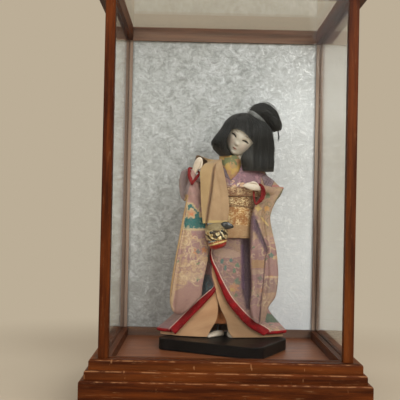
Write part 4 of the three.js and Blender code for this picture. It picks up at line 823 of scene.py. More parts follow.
comb = random.Random(11)
ridges = [comb.uniform(-0.45, 0.45) for _ in range(RIDGES)]
hair_rings = []
for height in heights(HAIR_ROWS, 44):
    row = along(HAIR_ROWS, height)
    ring = []
    for angle in all_round(144):
        x = oval(row, angle)[0]
        ridge = 0.3 * math.sin(1.3 * x) + 0.25 * math.sin(0.71 * x + 1)
        ring.append(spot(*oval(row, angle, ridge)))
    hair_rings.append(ring)
hair = drawn_out("silk_hair", hair_rings)
bpy.ops.object.shade_smooth()
window = drawn_out("face_window", [[spot(x, depth, z) for x, z in FACE_WINDOW] for depth in WINDOW_DEPTH])
reshaped(hair, "BOOLEAN", object=window, operation="DIFFERENCE")
bpy.ops.object.shade_smooth_by_angle(angle=HAIR_CREASE)
bpy.data.objects.remove(window)


def combed(first, reach, points, angle, sway, lift, spare, rising=0.0, overhang=0.0):
    """A thread laid down the hair from a height, as far as the cut or the face. lift is how far
    it stands off, and a rising thread reaches that only at its end."""
    path = []
    for share in spread(0, 1, points):
        height = first - reach * share
        turn = hang_angle(height, angle + sway * share)
        x, y, z = oval(along(HAIR_ROWS, height), turn, lift * share**rising)
        over_face = y < WINDOW_DEPTH[1] and inside(FACE_WINDOW, x, z + spare)
        if over_face or z < cut_height(x) + spare - overhang:
            break
        path.append(spot(x, y, z))
    return path


thread_paths = []
for _ in range(THREADS):
    angle = comb.uniform(0, math.tau)
    lift = comb.uniform(0.05, 0.7)
    sway = comb.uniform(-0.05, 0.05)
    spare = comb.uniform(-1.6, 0.6)
    thread_paths.append(combed(*THREAD_RUN, angle, sway, lift, spare))
for _ in range(STRAYS):
    angle = comb.uniform(0, math.tau)
    lift = comb.uniform(0.8, 2.4)
    sway = comb.uniform(-0.16, 0.16)
    first = comb.uniform(318, 285)
    reach = comb.uniform(16, 44)
    thread_paths.append(combed(first, reach, 16, angle, sway, lift, 0.0, 0.6, STRAY_OVERHANG))
thread_paths = [path for path in thread_paths if len(path) > SHORTEST]
hair = joined("silk_hair", [hair, threads_mesh("threads", thread_paths)])

black_silk, place = new_finish("black_silk")
strands = noise(place, (1500, 1500, 26), 3.0, 0.6)
locks = noise(place, (130, 130, 12), 3.0)
tone = strands.rise(0.3, 0.7).blend(dye(13, 13, 12), dye(44, 44, 42))
tone = (locks.rise(0.45, 0.75) * 0.45).blend(tone, dye(62, 62, 59))
close_finish(tone, 0.5 + 0.15 * locks, bump(strands, 0.35, 0.0004),
             {"Sheen Weight": 0.08, "Sheen Roughness": 0.4})
on_doll(hair, "hair", black_silk)

# Bun: a tress of the same silk drawn up from the crown, rolled over to the right and pinned.
# Its end is tucked into a small roll of its own, and a few threads have come loose.
BUN = ((35, 6, 306, 9, 9), (37.5, 6, 311, 11, 10.5), (40, 6, 316, 13, 12), (43.5, 7, 321.5, 15, 13.2),
       (50.5, 8, 322, 16, 13.6), (57, 8.7, 317.5, 15.2, 12.8), (62.5, 9.4, 310.5, 12.6, 10.8),
       (67, 10.1, 303.5, 8.8, 8.2), (69.4, 10.5, 298.6, 4.6, 4.4))
BUN_END = ((57, -3, 315, 4, 4), (62.5, -4.4, 312.4, 6.4, 5.6), (67.4, -3.6, 307, 6.6, 5.8),
           (70, -1, 301.4, 4.6, 4.2), (70.6, 1.6, 298, 1.8, 1.8))
BUN_THREADS = 240
END_THREADS = 90
LOOSE_THREADS = 60
WISP_THREADS = 16
WISP = ((68, 9, 304), (70.5, 8.6, 298), (71.6, 8.2, 291), (71.2, 8, 284.5))


def tube_point(sections, share, angle, out):
    """A point on a roll's surface: share runs along it and angle round it."""
    table = [(index, *section) for index, section in enumerate(sections)]
    index = share * (len(sections) - 1)
    here = along(table, index)[1:]
    before = Vector(along(table, index - 0.2)[1:4])
    after = Vector(along(table, index + 0.2)[1:4])
    forward = after - before
    across = forward.cross(Vector((0, 0, 1))).normalized()
    over = across.cross(forward).normalized()
    point = Vector(here[:3]) + across * ((here[3] + out) * math.cos(angle))
    return spot(*(point + over * ((here[4] + out) * math.sin(angle))))


bun_rings = []
for share in spread(0, 1, 20):
    bun_rings.append([tube_point(BUN, share, angle, ridge * 0.7)
                      for angle, ridge in zip(all_round(RIDGES), ridges)])
bun = drawn_out("rolled_bun", bun_rings)
bpy.ops.object.shade_smooth()
thread_paths = []
for _ in range(BUN_THREADS):
    angle = comb.uniform(0, math.tau)
    lift = comb.uniform(0.05, 0.5)
    first, last = sorted((comb.uniform(0, 0.3), comb.uniform(0.8, 1.0)))
    twist = comb.uniform(-0.25, 0.25)
    thread_paths.append([tube_point(BUN, share, angle + twist * share, lift)
                         for share in spread(first, last, 14)])
for _ in range(END_THREADS):
    angle = comb.uniform(0, math.tau)
    start_share = comb.uniform(0, 0.4)
    thread_paths.append([tube_point(BUN_END, share, angle + 0.4 * share, comb.uniform(0.1, 0.4))
                         for share in spread(start_share, 0.98, 9)])
for _ in range(LOOSE_THREADS):
    angle = comb.uniform(0, math.tau)
    first = comb.uniform(0.25, 0.75)
    lift = comb.uniform(0.8, 2.6)
    thread_paths.append([tube_point(BUN, share, angle + 1.2 * (share - first), lift)
                         for share in spread(first, first + 0.22, 8)])
for _ in range(WISP_THREADS):
    offset = Vector((comb.uniform(-1.2, 1.2), comb.uniform(-1.2, 1.2), comb.uniform(-2, 2)))
    thread_paths.append([spot(*(Vector(point) + offset * (0.3 + 0.25 * index)))
                         for index, point in enumerate(WISP)])
bun_end = rounded(bent_tube("bun_end", BUN_END, 20))
bun = joined("rolled_bun", [bun, bun_end, threads_mesh("bun_threads", thread_paths)])
on_doll(bun, "hair_bun", black_silk)

# Hair ribbon: a strip of silver-grey satin bound once round the root of the bun.
# It is drawn tight and sewn at the back.
RIBBON_MIDDLE = Vector((40.5, 6, 313.5))
RIBBON_AXIS = Vector((0.63, 0.05, 0.77)).normalized()
RIBBON_RADIUS = 14.6
RIBBON_HALF = 3.6
CLOTH_CREASE = math.radians(50)


def sew(name, rows, loop=False):
    """A cloth mesh through rows of points, with a UV map in metres of cloth; loop joins each row's ends."""
    count = len(rows[0])
    reach = count if loop else count - 1
    faces = []
    for level in range(len(rows) - 1):
        for step in range(reach):
            a = level * count + step
            b = level * count + (step + 1) % count
            faces.append((a, b, b + count, a + count))
    piece = from_corners(name, [point for row in rows for point in row], faces)
    widths = []
    for row in rows:
        lengths = [0.0]
        for step in range(count):
            lengths.append(lengths[-1] + (row[(step + 1) % count] - row[step]).length)
        widths.append([value - lengths[count - 1] / 2 for value in lengths])
    rises = [0.0]
    for below, over in zip(rows, rows[1:]):
        gap = sum((b - a).length for a, b in zip(below, over)) / count
        rises.append(rises[-1] + gap)
    cloth = piece.data.uv_layers.new(name="cloth")
    index = 0
    for level in range(len(rows) - 1):
        for step in range(reach):
            for up, along_row in ((0, step), (0, step + 1), (1, step + 1), (1, step)):
                cloth.data[index].uv = (widths[level + up][along_row], rises[level + up])
                index += 1
    return piece


def thickened(piece, thickness):
    """Gives a cloth its thickness and smooth shading."""
    reshaped(piece, "SOLIDIFY", thickness=thickness / 1000, offset=0.0)
    bpy.ops.object.shade_smooth_by_angle(angle=CLOTH_CREASE)
    return piece


ribbon_side = RIBBON_AXIS.cross(Vector((0, 1, 0))).normalized()
ribbon_front = RIBBON_AXIS.cross(ribbon_side)
ribbon_rows = []
for share in spread(-1, 1, 9):
    row = []
    for angle in all_round(72):
        radius = RIBBON_RADIUS + 1.1 * (1 - share**2) + 0.12 * math.sin(9 * angle)
        around = ribbon_side * math.cos(angle) + ribbon_front * math.sin(angle)
        row.append(spot(*(RIBBON_MIDDLE + around * radius + RIBBON_AXIS * (RIBBON_HALF * share))))
    ribbon_rows.append(row)
ribbon = thickened(sew("satin_ribbon", ribbon_rows, loop=True), 0.7)
made, cloth = new_finish("silver_satin", "cloth")
ribs = noise(cloth, (60, 2600, 1), 2.0)
folds = noise(cloth, (260, 30, 1), 3.0)
tone = folds.rise(0.3, 0.7).blend(dye(62, 63, 61), dye(118, 119, 116))
close_finish(tone, 0.36 + 0.1 * ribs, bump(ribs + folds, 0.3, 0.0003),
             {"Metallic": 0.25, "Sheen Weight": 0.3})
on_doll(ribbon, "bun_ribbon", made)

# Inner collar: a folded strip of yellow and orange brocade round the neck, crossed low in front
# and sewn inside the robe. It stands away from the neck on the doll's right.
COLLAR_ROWS = ((229, 7.0, 6, 12, 8.6, 13), (236, 7.0, 6.2, 14.2, 10.6, 14), (244, 6.8, 7, 15.6, 12.8, 14),
               (251, 6.6, 7.8, 16.0, 13.6, 14), (258, 6.4, 8.8, 15.4, 12.4, 13),
               (262.5, 6.6, 9.6, 14.4, 10.8, 12))
COLLAR_COLOURS = (dye(172, 144, 92), dye(184, 134, 92), dye(84, 108, 74), dye(196, 160, 84))


def weave(place, pitch):
    """A plain weave's relief: threads over and under at a pitch in metres."""
    turns = math.tau / pitch
    return place.maths("SINE", axis(place, "X") * turns) * place.maths("SINE", axis(place, "Y") * turns)


collar_rows = oval_rings(COLLAR_ROWS, heights(COLLAR_ROWS, 18), 72,
                         lambda height, _: 1.2 * max(0.0, (height - 256) / 6.5) ** 2)
collar = thickened(sew("crossed_collar", collar_rows, loop=True), 1.2)
made, cloth = new_finish("collar_brocade", "cloth")
ragged = drifted(cloth, 240.0, (0.008, 0.008, 0.008))
values = {"Vector": ragged, "Scale": 130.0}
motif = cloth.node("TexVoronoi", {"voronoi_dimensions": "2D"}, values, out="Color")
pick = motif.node("SeparateColor", links={"Color": motif}, out="Red")
wander = noise(cloth, 130.0)
tone = wander.rise(0.42, 0.56).blend(COLLAR_COLOURS[0], COLLAR_COLOURS[1])
tone = (pick.rise(0.55, 0.58) * 0.8).blend(tone, COLLAR_COLOURS[3])
tone = (pick.rise(0.78, 0.8) * 0.8).blend(tone, COLLAR_COLOURS[2])
threads = weave(cloth, 0.0009)
close_finish(tone, 0.55, bump(threads + 2 * wander, 0.3, 0.0003), {"Sheen Weight": 0.2})
on_doll(collar, "inner_collar", made)

# Robe, upper part: mauve figured silk with metal threads, wrapped left over right and tucked into the obi.
# The neckline is open in a V in front with a narrow dark piping.
MAUVE = dye(156, 117, 112)
MAUVE_DEEP = dye(118, 84, 86)
MAUVE_PALE = dye(174, 138, 130)
CREAM = dye(188, 154, 112)
CREAM_PALE = dye(204, 176, 134)
TEAL = dye(44, 112, 106)
GREEN = dye(78, 118, 76)
ORANGE = dye(206, 132, 78)
GOLD = dye(190, 146, 70)
BODICE = ((152, 13, 8, 25, 17.5, 17), (175, 14, 8, 25, 18, 17), (200, 14, 8, 27, 18.5, 17),
          (218, 15, 8, 35, 17, 16), (230, 15, 8.5, 41, 15, 15), (240, 14.5, 9, 39.5, 14.6, 14.4),
          (246, 14.0, 9.5, 33, 14.6, 13.8), (251, 12.5, 10, 25, 14.4, 13.6),
          (254, 11.0, 10.2, 20.5, 14.0, 13.4))
NECK_LEFT = ((152, 5.9), (228, 5.9), (236, 2.6), (246, -1.6), (254, -5.5))
NECK_RIGHT = ((152, 6.2), (228, 6.2), (235, 13), (242, 17.6), (250, 20), (254, 22))


def bloom(flat, cells, size, petals, share, seed):
    """Scattered flowers on a flat cloth: the flowers' mask, their outlines and a colour pick for each."""
    moved = flat.node("Mapping", links={"Vector": flat, "Location": (seed, seed * 0.37, 0)})
    values = {"Vector": moved, "Scale": cells, "Randomness": 0.8}
    plain = {"voronoi_dimensions": "2D"}
    middle = flat.node("TexVoronoi", plain, values, out="Position")
    chance = flat.node("TexVoronoi", plain, values, out="Color")
    away = moved.vector("SUBTRACT", middle)
    reach = away.vector("LENGTH", out="Value")
    angle = flat.maths("ARCTAN2", axis(away, "Y"), axis(away, "X"))
    pick = flat.node("SeparateColor", links={"Color": chance}, out="Red")
    kept = flat.node("SeparateColor", links={"Color": chance}, out="Green").rise(1 - share, 1 - share + 0.02)
    edge = size * (0.76 + 0.24 * flat.maths("COSINE", angle * petals + pick * math.tau))
    filled = kept * (1 - (reach / edge).rise(0.86, 1.0))
    outline = kept * (1 - abs(reach / edge - 0.95).rise(0.06, 0.16))
    heart = kept * (1 - (reach / size).rise(0.16, 0.26))
    return filled, outline, heart, pick


def net(flat, cells, low, high):
    """Fine crooked lines that enclose small fields on a flat cloth."""
    kind = {"voronoi_dimensions": "2D", "feature": "DISTANCE_TO_EDGE"}
    field = flat.node("TexVoronoi", kind, {"Vector": flat, "Scale": cells}, out="Distance")
    return 1 - field.rise(low, high)


def kimono_finish(name, flat, mist, marks, seed):
    """Mauve figured silk. flat makes the cloth's own place, mist says how much cream ground there is,
    and marks lists the motifs of one piece."""
    made, place = new_finish(name)
    plain = flat(place)
    cloth = drifted(plain, 90.0, (0.012, 0.012, 0))
    slow = noise(cloth, 26.0, 3.0)
    moved = cloth.node("Mapping", links={"Vector": cloth, "Location": (seed, seed, 0)})
    banks = noise(moved, (24, 42, 1), 6.0, 0.62)
    mottle = noise(moved, 300.0, 4.0, 0.6)
    glitter = noise(cloth, 1300.0, 2.0)
    scrolls = net(moved, 105.0, 0.03, 0.1)
    fields = net(moved, 250.0, 0.06, 0.16)
    tone = slow.rise(0.35, 0.7).blend(MAUVE, MAUVE_PALE)
    tone = (slow.rise(0.5, 0.7) * 0.4).blend(tone, MAUVE_DEEP)
    cream = banks.rise(0.5 - mist, 0.56 - mist)
    tone = (cream * 0.85).blend(tone, mottle.rise(0.4, 0.62).blend(CREAM, CREAM_PALE))
    tone = (cream * fields * 0.5).blend(tone, MAUVE)
    sparse = banks.rise(0.38 - mist, 0.46 - mist) * (1 - cream)
    tone = (sparse * scrolls * 0.75).blend(tone, CREAM_PALE)
    sprigs, _, _, sprig_pick = bloom(cloth, 120.0, 0.0024, 2.0, 0.14, seed)
    tone = (sprigs * 0.7).blend(tone, sprig_pick.rise(0.4, 0.45).blend(TEAL, GREEN))
    flowers, flower_edge, hearts, flower_pick = bloom(cloth, 46.0, 0.005, 5.0, 0.2, seed + 1.7)
    petal_dye = flower_pick.rise(0.45, 0.5).blend(ORANGE, flower_pick.rise(0.7, 0.75).blend(
        dye(180, 116, 112), dye(206, 174, 132)))
    tone = (flowers * 0.6).blend(tone, petal_dye)
    tone = (flower_edge * 0.45).blend(tone, CREAM_PALE)
    tone = (hearts * 0.7).blend(tone, GOLD)
    rag = noise(place, 380.0, 4.0, 0.6) - 0.5
    for mark, _, _, ragged, soft, colour, strength, *edging in marks:
        away = place.node("Attribute", {"attribute_name": mark}, out="Fac") + rag * ragged
        for width, edge_dye in edging:
            tone = ((1 - away.rise(width - soft, width + soft)) * strength).blend(tone, dye(*edge_dye))
        tone = ((1 - away.rise(-soft, soft)) * strength).blend(tone, dye(*colour))
    tone = (mottle.rise(0.5, 0.72) * 0.22).blend(tone, MAUVE_DEEP)
    sparkle = glitter.rise(0.6, 0.68)
    tone = (sparkle * 0.35).blend(tone, dye(226, 198, 166))
    threads = weave(plain, 0.0008)
    height = threads + 1.2 * cream + scrolls * sparse + 2 * slow
    close_finish(tone, 0.58 - 0.14 * sparkle, bump(height, 0.35, 0.0003),
                 {"Metallic": 0.3 * sparkle, "Sheen Weight": 0.15, "Sheen Roughness": 0.4})
    return made


def cloth_map(place):
    """The place on a cloth that was sewn with its own map."""
    return place.node("UVMap", {"uv_map": "cloth"})


def front_map(place):
    """The place on a cloth that hangs flat, seen from the front."""
    return place.node("CombineXYZ", links={"X": axis(place, "X"), "Y": axis(place, "Z")})


def doll_axes(tone):
    """Across, depth and height on the doll, in millimetres, for the finish that a tone is part of."""
    moved = tone.node("TexCoord", out="Object").vector("SUBTRACT", tuple(STAND))
    return [1000 * axis(moved, name) for name in "XYZ"]


BACK_FACING = 0.35
FAR_OFF = 100


def far_from(outline, half, places):
    """How far places lie outside a closed outline, or outside a line of a half width, in millimetres."""
    shape = numpy.array(outline, dtype=float)
    firsts, seconds = (shape[:-1], shape[1:]) if half else (shape, numpy.roll(shape, -1, axis=0))
    nearest = numpy.full(len(places), 1000.0)
    within = numpy.zeros(len(places), dtype=bool)
    for first, second in zip(firsts, seconds):
        run = second - first
        share = numpy.clip((places - first) @ run / (run @ run), 0, 1)
        nearest = numpy.minimum(nearest, numpy.linalg.norm(places - first - share[:, None] * run, axis=1))
        if run[1]:
            passes = (first[1] > places[:, 1]) != (second[1] > places[:, 1])
            within ^= passes & (places[:, 0] < first[0] + (places[:, 1] - first[1]) * run[0] / run[1])
    return nearest - half if half else numpy.where(within, -nearest, nearest)


def dye_marks(piece, marks):
    """Stores, for each motif of a cloth, how far every point of its front lies outside the motif."""
    mesh = piece.data
    places = numpy.empty(3 * len(mesh.vertices))
    mesh.vertices.foreach_get("co", places)
    places = (places.reshape(-1, 3) - numpy.array(STAND)) * 1000
    facing = numpy.array([normal.vector[1] for normal in mesh.vertex_normals])
    for mark, outline, half, *_ in marks:
        shapes = outline if isinstance(outline[0][0], tuple) else (outline,)
        away = numpy.min([far_from(shape, half, places[:, (0, 2)]) for shape in shapes], axis=0)
        away[facing > BACK_FACING] += FAR_OFF
        mesh.attributes.new(mark, "FLOAT", "POINT").data.foreach_set("value", away)


def petals(x, z, radius, count):
    """The outline of a flower."""
    shape = []
    for angle in all_round(6 * count):
        reach = radius * (0.78 + 0.22 * math.cos(count * angle))
        shape.append((x + reach * math.sin(angle), z + reach * math.cos(angle)))
    return tuple(shape)


def curls(corner, far_corner, count, length, seed):
    """Short curled strokes scattered over a box."""
    draw = random.Random(seed)
    strokes = []
    for _ in range(count):
        x = draw.uniform(corner[0], far_corner[0])
        z = draw.uniform(corner[1], far_corner[1])
        heading = draw.uniform(0, math.tau)
        bend = draw.choice((-1, 1)) * draw.uniform(0.3, 0.9)
        stroke = [(x, z)]
        for _ in range(5):
            x += length / 5 * math.cos(heading)
            z += length / 5 * math.sin(heading)
            heading += bend
            stroke.append((x, z))
        strokes.append(tuple(stroke))
    return tuple(strokes)


def edge_angle(row, edge, height):
    """The angle on a row's front at which an edge passes it at a height."""
    share = (along(edge, height)[1] - row[1]) / row[3]
    return math.asin(max(-0.999, min(0.999, share)))


bodice_rows = []
for height in heights(BODICE, 84):
    row = along(BODICE, height)
    first = edge_angle(row, NECK_RIGHT, height)
    last = edge_angle(row, NECK_LEFT, height) + math.tau
    line = []
    for angle in spread(first, last, 160):
        crease = 0.5 * math.sin(7 * angle + height / 9) * math.sin(height / 13)
        line.append(spot(*oval(row, angle, crease)))
    bodice_rows.append(line)

PIPED = (0.9, (76, 58, 62))
LAPEL = ((-5.5, 251), (-0.5, 252), (9, 237), (7.5, 229), (-1, 234))


def lattice(corners, count):
    """Crossing strokes between the sides of a figure with four corners."""
    sides = [Vector(corner) for corner in corners]
    strokes = []
    for share in spread(0, 1, count)[1:-1]:
        for first, second, third, fourth in (sides, (sides[1], sides[2], sides[3], sides[0])):
            strokes.append((tuple(first.lerp(fourth, share)), tuple(second.lerp(third, share))))
    return tuple(strokes)


SHOULDER_TUCK = ((49, 235), (56, 239.2), (65, 229.7), (61, 221.6), (53, 222.9))
TUCK_CORNERS = ((50, 226), (55.6, 236.4), (63, 229.4), (59, 223))
TUCK_LINES = (92, 72, 80)
BODICE_MARKS = (
    ("bosom", ((4, 246), (24, 250), (50, 240), (52, 225.6), (26, 216), (2, 216)), 0, 4, 1.5,
     (138, 102, 116), 0.75),
    ("bosom_lines", curls((16, 224), (52, 246), 20, 8, 8), 0.5, 0.6, 0.4, (88, 64, 80), 0.7),
    ("bosom_pinks", curls((4, 222), (44, 238), 16, 5, 21), 0.7, 0.8, 0.4, (190, 142, 150), 0.7),
    ("scrollwork", curls((3, 217), (27, 229), 24, 6, 5), 0.55, 0.6, 0.4, (232, 190, 140), 0.9),
    ("glints", curls((3, 218), (24, 227), 9, 4, 6), 0.5, 0.4, 0.3, (246, 232, 206), 0.9),
    ("lapel", LAPEL, 0, 0, 0.4, (130, 112, 118), 0.9, PIPED),
    ("lapel_lines", lattice((LAPEL[0], LAPEL[1], LAPEL[2], LAPEL[4]), 4), 0.7, 0.6, 0.5, TUCK_LINES, 0.9),
    ("tuck_under", SHOULDER_TUCK, 0, 0, 0.4, (138, 116, 120), 0.9, PIPED),
    ("tuck_under_lines", lattice(TUCK_CORNERS, 4), 0.7, 0.6, 0.5, TUCK_LINES, 0.9),
)
bodice = thickened(sew("robe_bodice", bodice_rows), 1.4)
dye_marks(bodice, BODICE_MARKS)
on_doll(bodice, "bodice", kimono_finish("bodice_silk", front_map, -0.06, BODICE_MARKS, 3.1))

# Obi: a stiff sash of gold brocade wound round the waist over the robe, with a pad under its upper edge
# that is wrapped in pinkish brocade, and a drum bow tied at the back.
OBI_OUT = 3.0
OBI_HEIGHTS = (148.5, 206.0)
ROLL_HEIGHT = 213.2
ROLL_HALF = (6.6, 3.4)
SEAM = 0.00002


def boxed(value, power):
    """A sine or cosine that is pushed outwards, which makes a round section boxier."""
    return math.copysign(abs(value) ** power, value)


def gold_brocade(name, ground, deep, lights, zones=None):
    """Gold brocade: scrolls of bright metal thread on a coloured ground; zones change it by height."""
    made, cloth = new_finish(name, "cloth")
    warp = noise(cloth, 60.0, 3.0)
    waves = {"Vector": cloth, "Scale": 84.0, "Distortion": 11.0, "Detail": 3.0, "Detail Scale": 1.6}
    scrolls = cloth.node("TexWave", {"wave_type": "RINGS"}, waves, out="Fac")
    flowers, edges, hearts, pick = bloom(cloth, 72.0, 0.0055, 6.0, 0.6, 4.4)
    tone = warp.rise(0.35, 0.65).blend(deep, ground)
    bright = (scrolls.rise(0.62, 0.82) * warp.rise(0.4, 0.6)).highest(edges * 0.9)
    tone = (flowers * 0.5).blend(tone, pick.rise(0.5, 0.55).blend(deep, lights))
    tone = (bright * 0.85).blend(tone, lights)
    tone = hearts.blend(tone, deep)
    fine = noise(cloth, 420.0, 3.0, 0.6)
    tone = (fine.rise(0.54, 0.62) * 0.4).blend(tone, lights)
    tone = ((1 - fine.rise(0.38, 0.46)) * 0.4).blend(tone, deep)
    bright = bright.highest(fine.rise(0.56, 0.62) * 0.8)
    if zones:
        tone, bright = zones(tone, bright)
    threads = weave(cloth, 0.0009)
    height = 0.6 * threads + 2 * bright + flowers
    close_finish(tone, 0.5 - 0.18 * bright, bump(height, 0.5, 0.0005),
                 {"Metallic": 0.15 + 0.45 * bright, "Sheen Weight": 0.15})
    return made


def obi_zones(tone, bright):
    """Pale scrolls on pinkish brown at the top, gold under a painted crease shadow, plain tan at the foot,
    and painted shade down the right side beside the left sleeve.
    """
    across, _, height = doll_axes(tone)
    sag = height + 0.006 * (across - 14) ** 2
    pale = sag.rise(193.5, 195)
    plain = 1 - sag.rise(168, 170)
    pale_tone = bright.blend(dye(148, 104, 62), dye(240, 216, 168))
    tone = pale.blend(tone, pale_tone)
    tone = (plain * 0.8).blend(tone, dye(184, 146, 106))
    # Painted shade down the obi's right side, beside the left sleeve.
    tone = (across.rise(28, 36) * 0.6).blend(tone, dye(84, 50, 34))
    # Painted shadow of a crease along the sagging line under the pale top.
    crease = 1 - abs(sag - 194).rise(0.5, 1.8)
    tone = (crease * 0.7).blend(tone, dye(92, 54, 32))
    return tone, bright * (1 - plain * 0.9)


def obi_pull(height, angle):
    """How far the obi stands off the robe: it is pulled into shallow creases in front."""
    front = max(0.0, math.cos(angle)) ** 2
    return OBI_OUT + 0.35 * math.sin(height / 4.6 + 2 * math.sin(angle)) * front


obi_rows = oval_rings(BODICE, spread(*OBI_HEIGHTS, 26), 120, obi_pull)
obi = thickened(sew("wound_obi", obi_rows, loop=True), 2.2)
obi_gold = gold_brocade("obi_gold", dye(208, 156, 92), dye(170, 114, 62), dye(248, 226, 178), obi_zones)
on_doll(obi, "obi", obi_gold)


def stuffed(name, rows):
    """A stuffed piece, sewn up round rings of points."""
    return closed_up(sew(name, rows, loop=True), SEAM)


roll_rows = []
for round_it in all_round(24):
    height = ROLL_HEIGHT + ROLL_HALF[0] * math.cos(round_it)
    row = along(BODICE, ROLL_HEIGHT - 4)
    row[0] = height
    line = []
    for angle in all_round(120):
        gather = 0.5 * math.sin(26 * angle) + 0.3 * math.sin(41 * angle + 1)
        bulge = 2.0 + ROLL_HALF[1] + (ROLL_HALF[1] + gather * 0.6) * math.sin(round_it)
        line.append(spot(*oval(row, angle, bulge)))
    roll_rows.append(line)
roll_rows.append(roll_rows[0])
obi_roll = stuffed("obi_pad", roll_rows)
pad_brocade = gold_brocade("pad_brocade", dye(172, 126, 88), dye(122, 80, 54), dye(236, 208, 164))
on_doll(obi_roll, "obi_roll", pad_brocade)

BOW_MIDDLE = (14.0, 37.0, 184.0)
BOW_HALF = (20.6, 7.6, 26.4)
bow_rows = []
for share in spread(-1, 1, 41):
    end = max(0.0, 1 - abs(share) ** 5) ** 0.45
    line = []
    for angle in all_round(56):
        thick = boxed(math.sin(angle), 0.8)
        tall = boxed(math.cos(angle), 0.8)
        z = BOW_HALF[2] * tall * (0.8 + 0.2 * end)
        seam = 1 - 0.4 * near(z + 9, 2.2) - 0.16 * near(z - 8, 6)
        y = BOW_HALF[1] * thick * end * seam + 0.25 * math.sin(19 * share + z / 5)
        line.append(spot(BOW_MIDDLE[0] + BOW_HALF[0] * share, BOW_MIDDLE[1] + y, BOW_MIDDLE[2] + z))
    bow_rows.append(line)
bow = stuffed("drum_bow", bow_rows)
finish = gold_brocade("bow_gold", dye(190, 134, 70), dye(146, 90, 44), dye(236, 206, 150))
on_doll(bow, "obi_bow", finish)

# Robe, skirt: the same mauve silk, lapped in front and spread wide at the hem over padded edges.
# It is held by the obi; stiff paper under the silk keeps its folds.
ROBE = ((151.5, 13, 8, 24, 16.4, 16), (146.5, 13, 8, 24, 16.4, 16), (134, 8.5, 9, 32, 21.5, 22),
        (112, 7, 10, 38.5, 25, 27), (90, 5, 12, 44, 26.5, 31), (70, 3, 14, 51, 28, 34),
        (50, 1, 17, 62, 30, 38), (36, 0, 20, 75, 31, 42), (24.5, -1, 22, 87, 31, 46))
OVER_EDGE = ((151.5, -7), (146.5, -9), (134, -17), (120.5, -15.5), (108.4, -9.5), (95, -3), (72.5, 10),
             (57, 23), (40.6, 40.5), (28.3, 60.5), (24.5, 63.5))
UNDER_EDGE = ((151.5, -9.5), (146.5, -11.5), (134, -19.5), (112, -17.6), (100, -16.4), (90, -14.6),
              (83.6, -15.6), (66, -33.2), (53, -45.6), (38, -60), (28, -69.6), (24.5, -73))
HEM = 24.5
BACK_FOLDS = 9
FOLD_DEPTH = 3.2
PLEAT = (29.0, 4.6, 6.0)


def limited(value):
    """A value kept between 0 and 1."""
    return min(1.0, max(0.0, value))


def robe_point(height, angle, out=0.0):
    """A point of the skirt: deep folds round the back and one sharp pleat right of the front."""
    row = along(ROBE, height)
    fall = limited((146 - height) / 110)
    behind = (1 - math.cos(angle)) / 2
    fold = FOLD_DEPTH * fall * behind * (math.cos(BACK_FOLDS * angle) + 0.3 * math.cos(17 * angle + 1))
    x = row[1] + row[3] * math.sin(angle)
    in_front = max(0.0, math.cos(angle)) ** 0.5
    fade = limited((height - 62) / 30) * limited((150 - height) / 12)
    fold -= PLEAT[2] * fade * in_front * near(x - PLEAT[0], PLEAT[1])
    return Vector(oval((height, *row[1:]), angle, fold + out))


def front_angle(edge, height):
    """The angle at which the skirt's front edge passes a height."""
    return edge_angle(along(ROBE, height), edge, height)


def robe_edge(edge, height):
    """A point on one of the skirt's front edges."""
    return robe_point(height, front_angle(edge, height))


robe_rows = []
for height in heights(ROBE, 100):
    first = front_angle(OVER_EDGE, height)
    last = front_angle(UNDER_EDGE, height) + math.tau
    robe_rows.append([spot(*robe_point(height, angle)) for angle in spread(first, last, 280)])

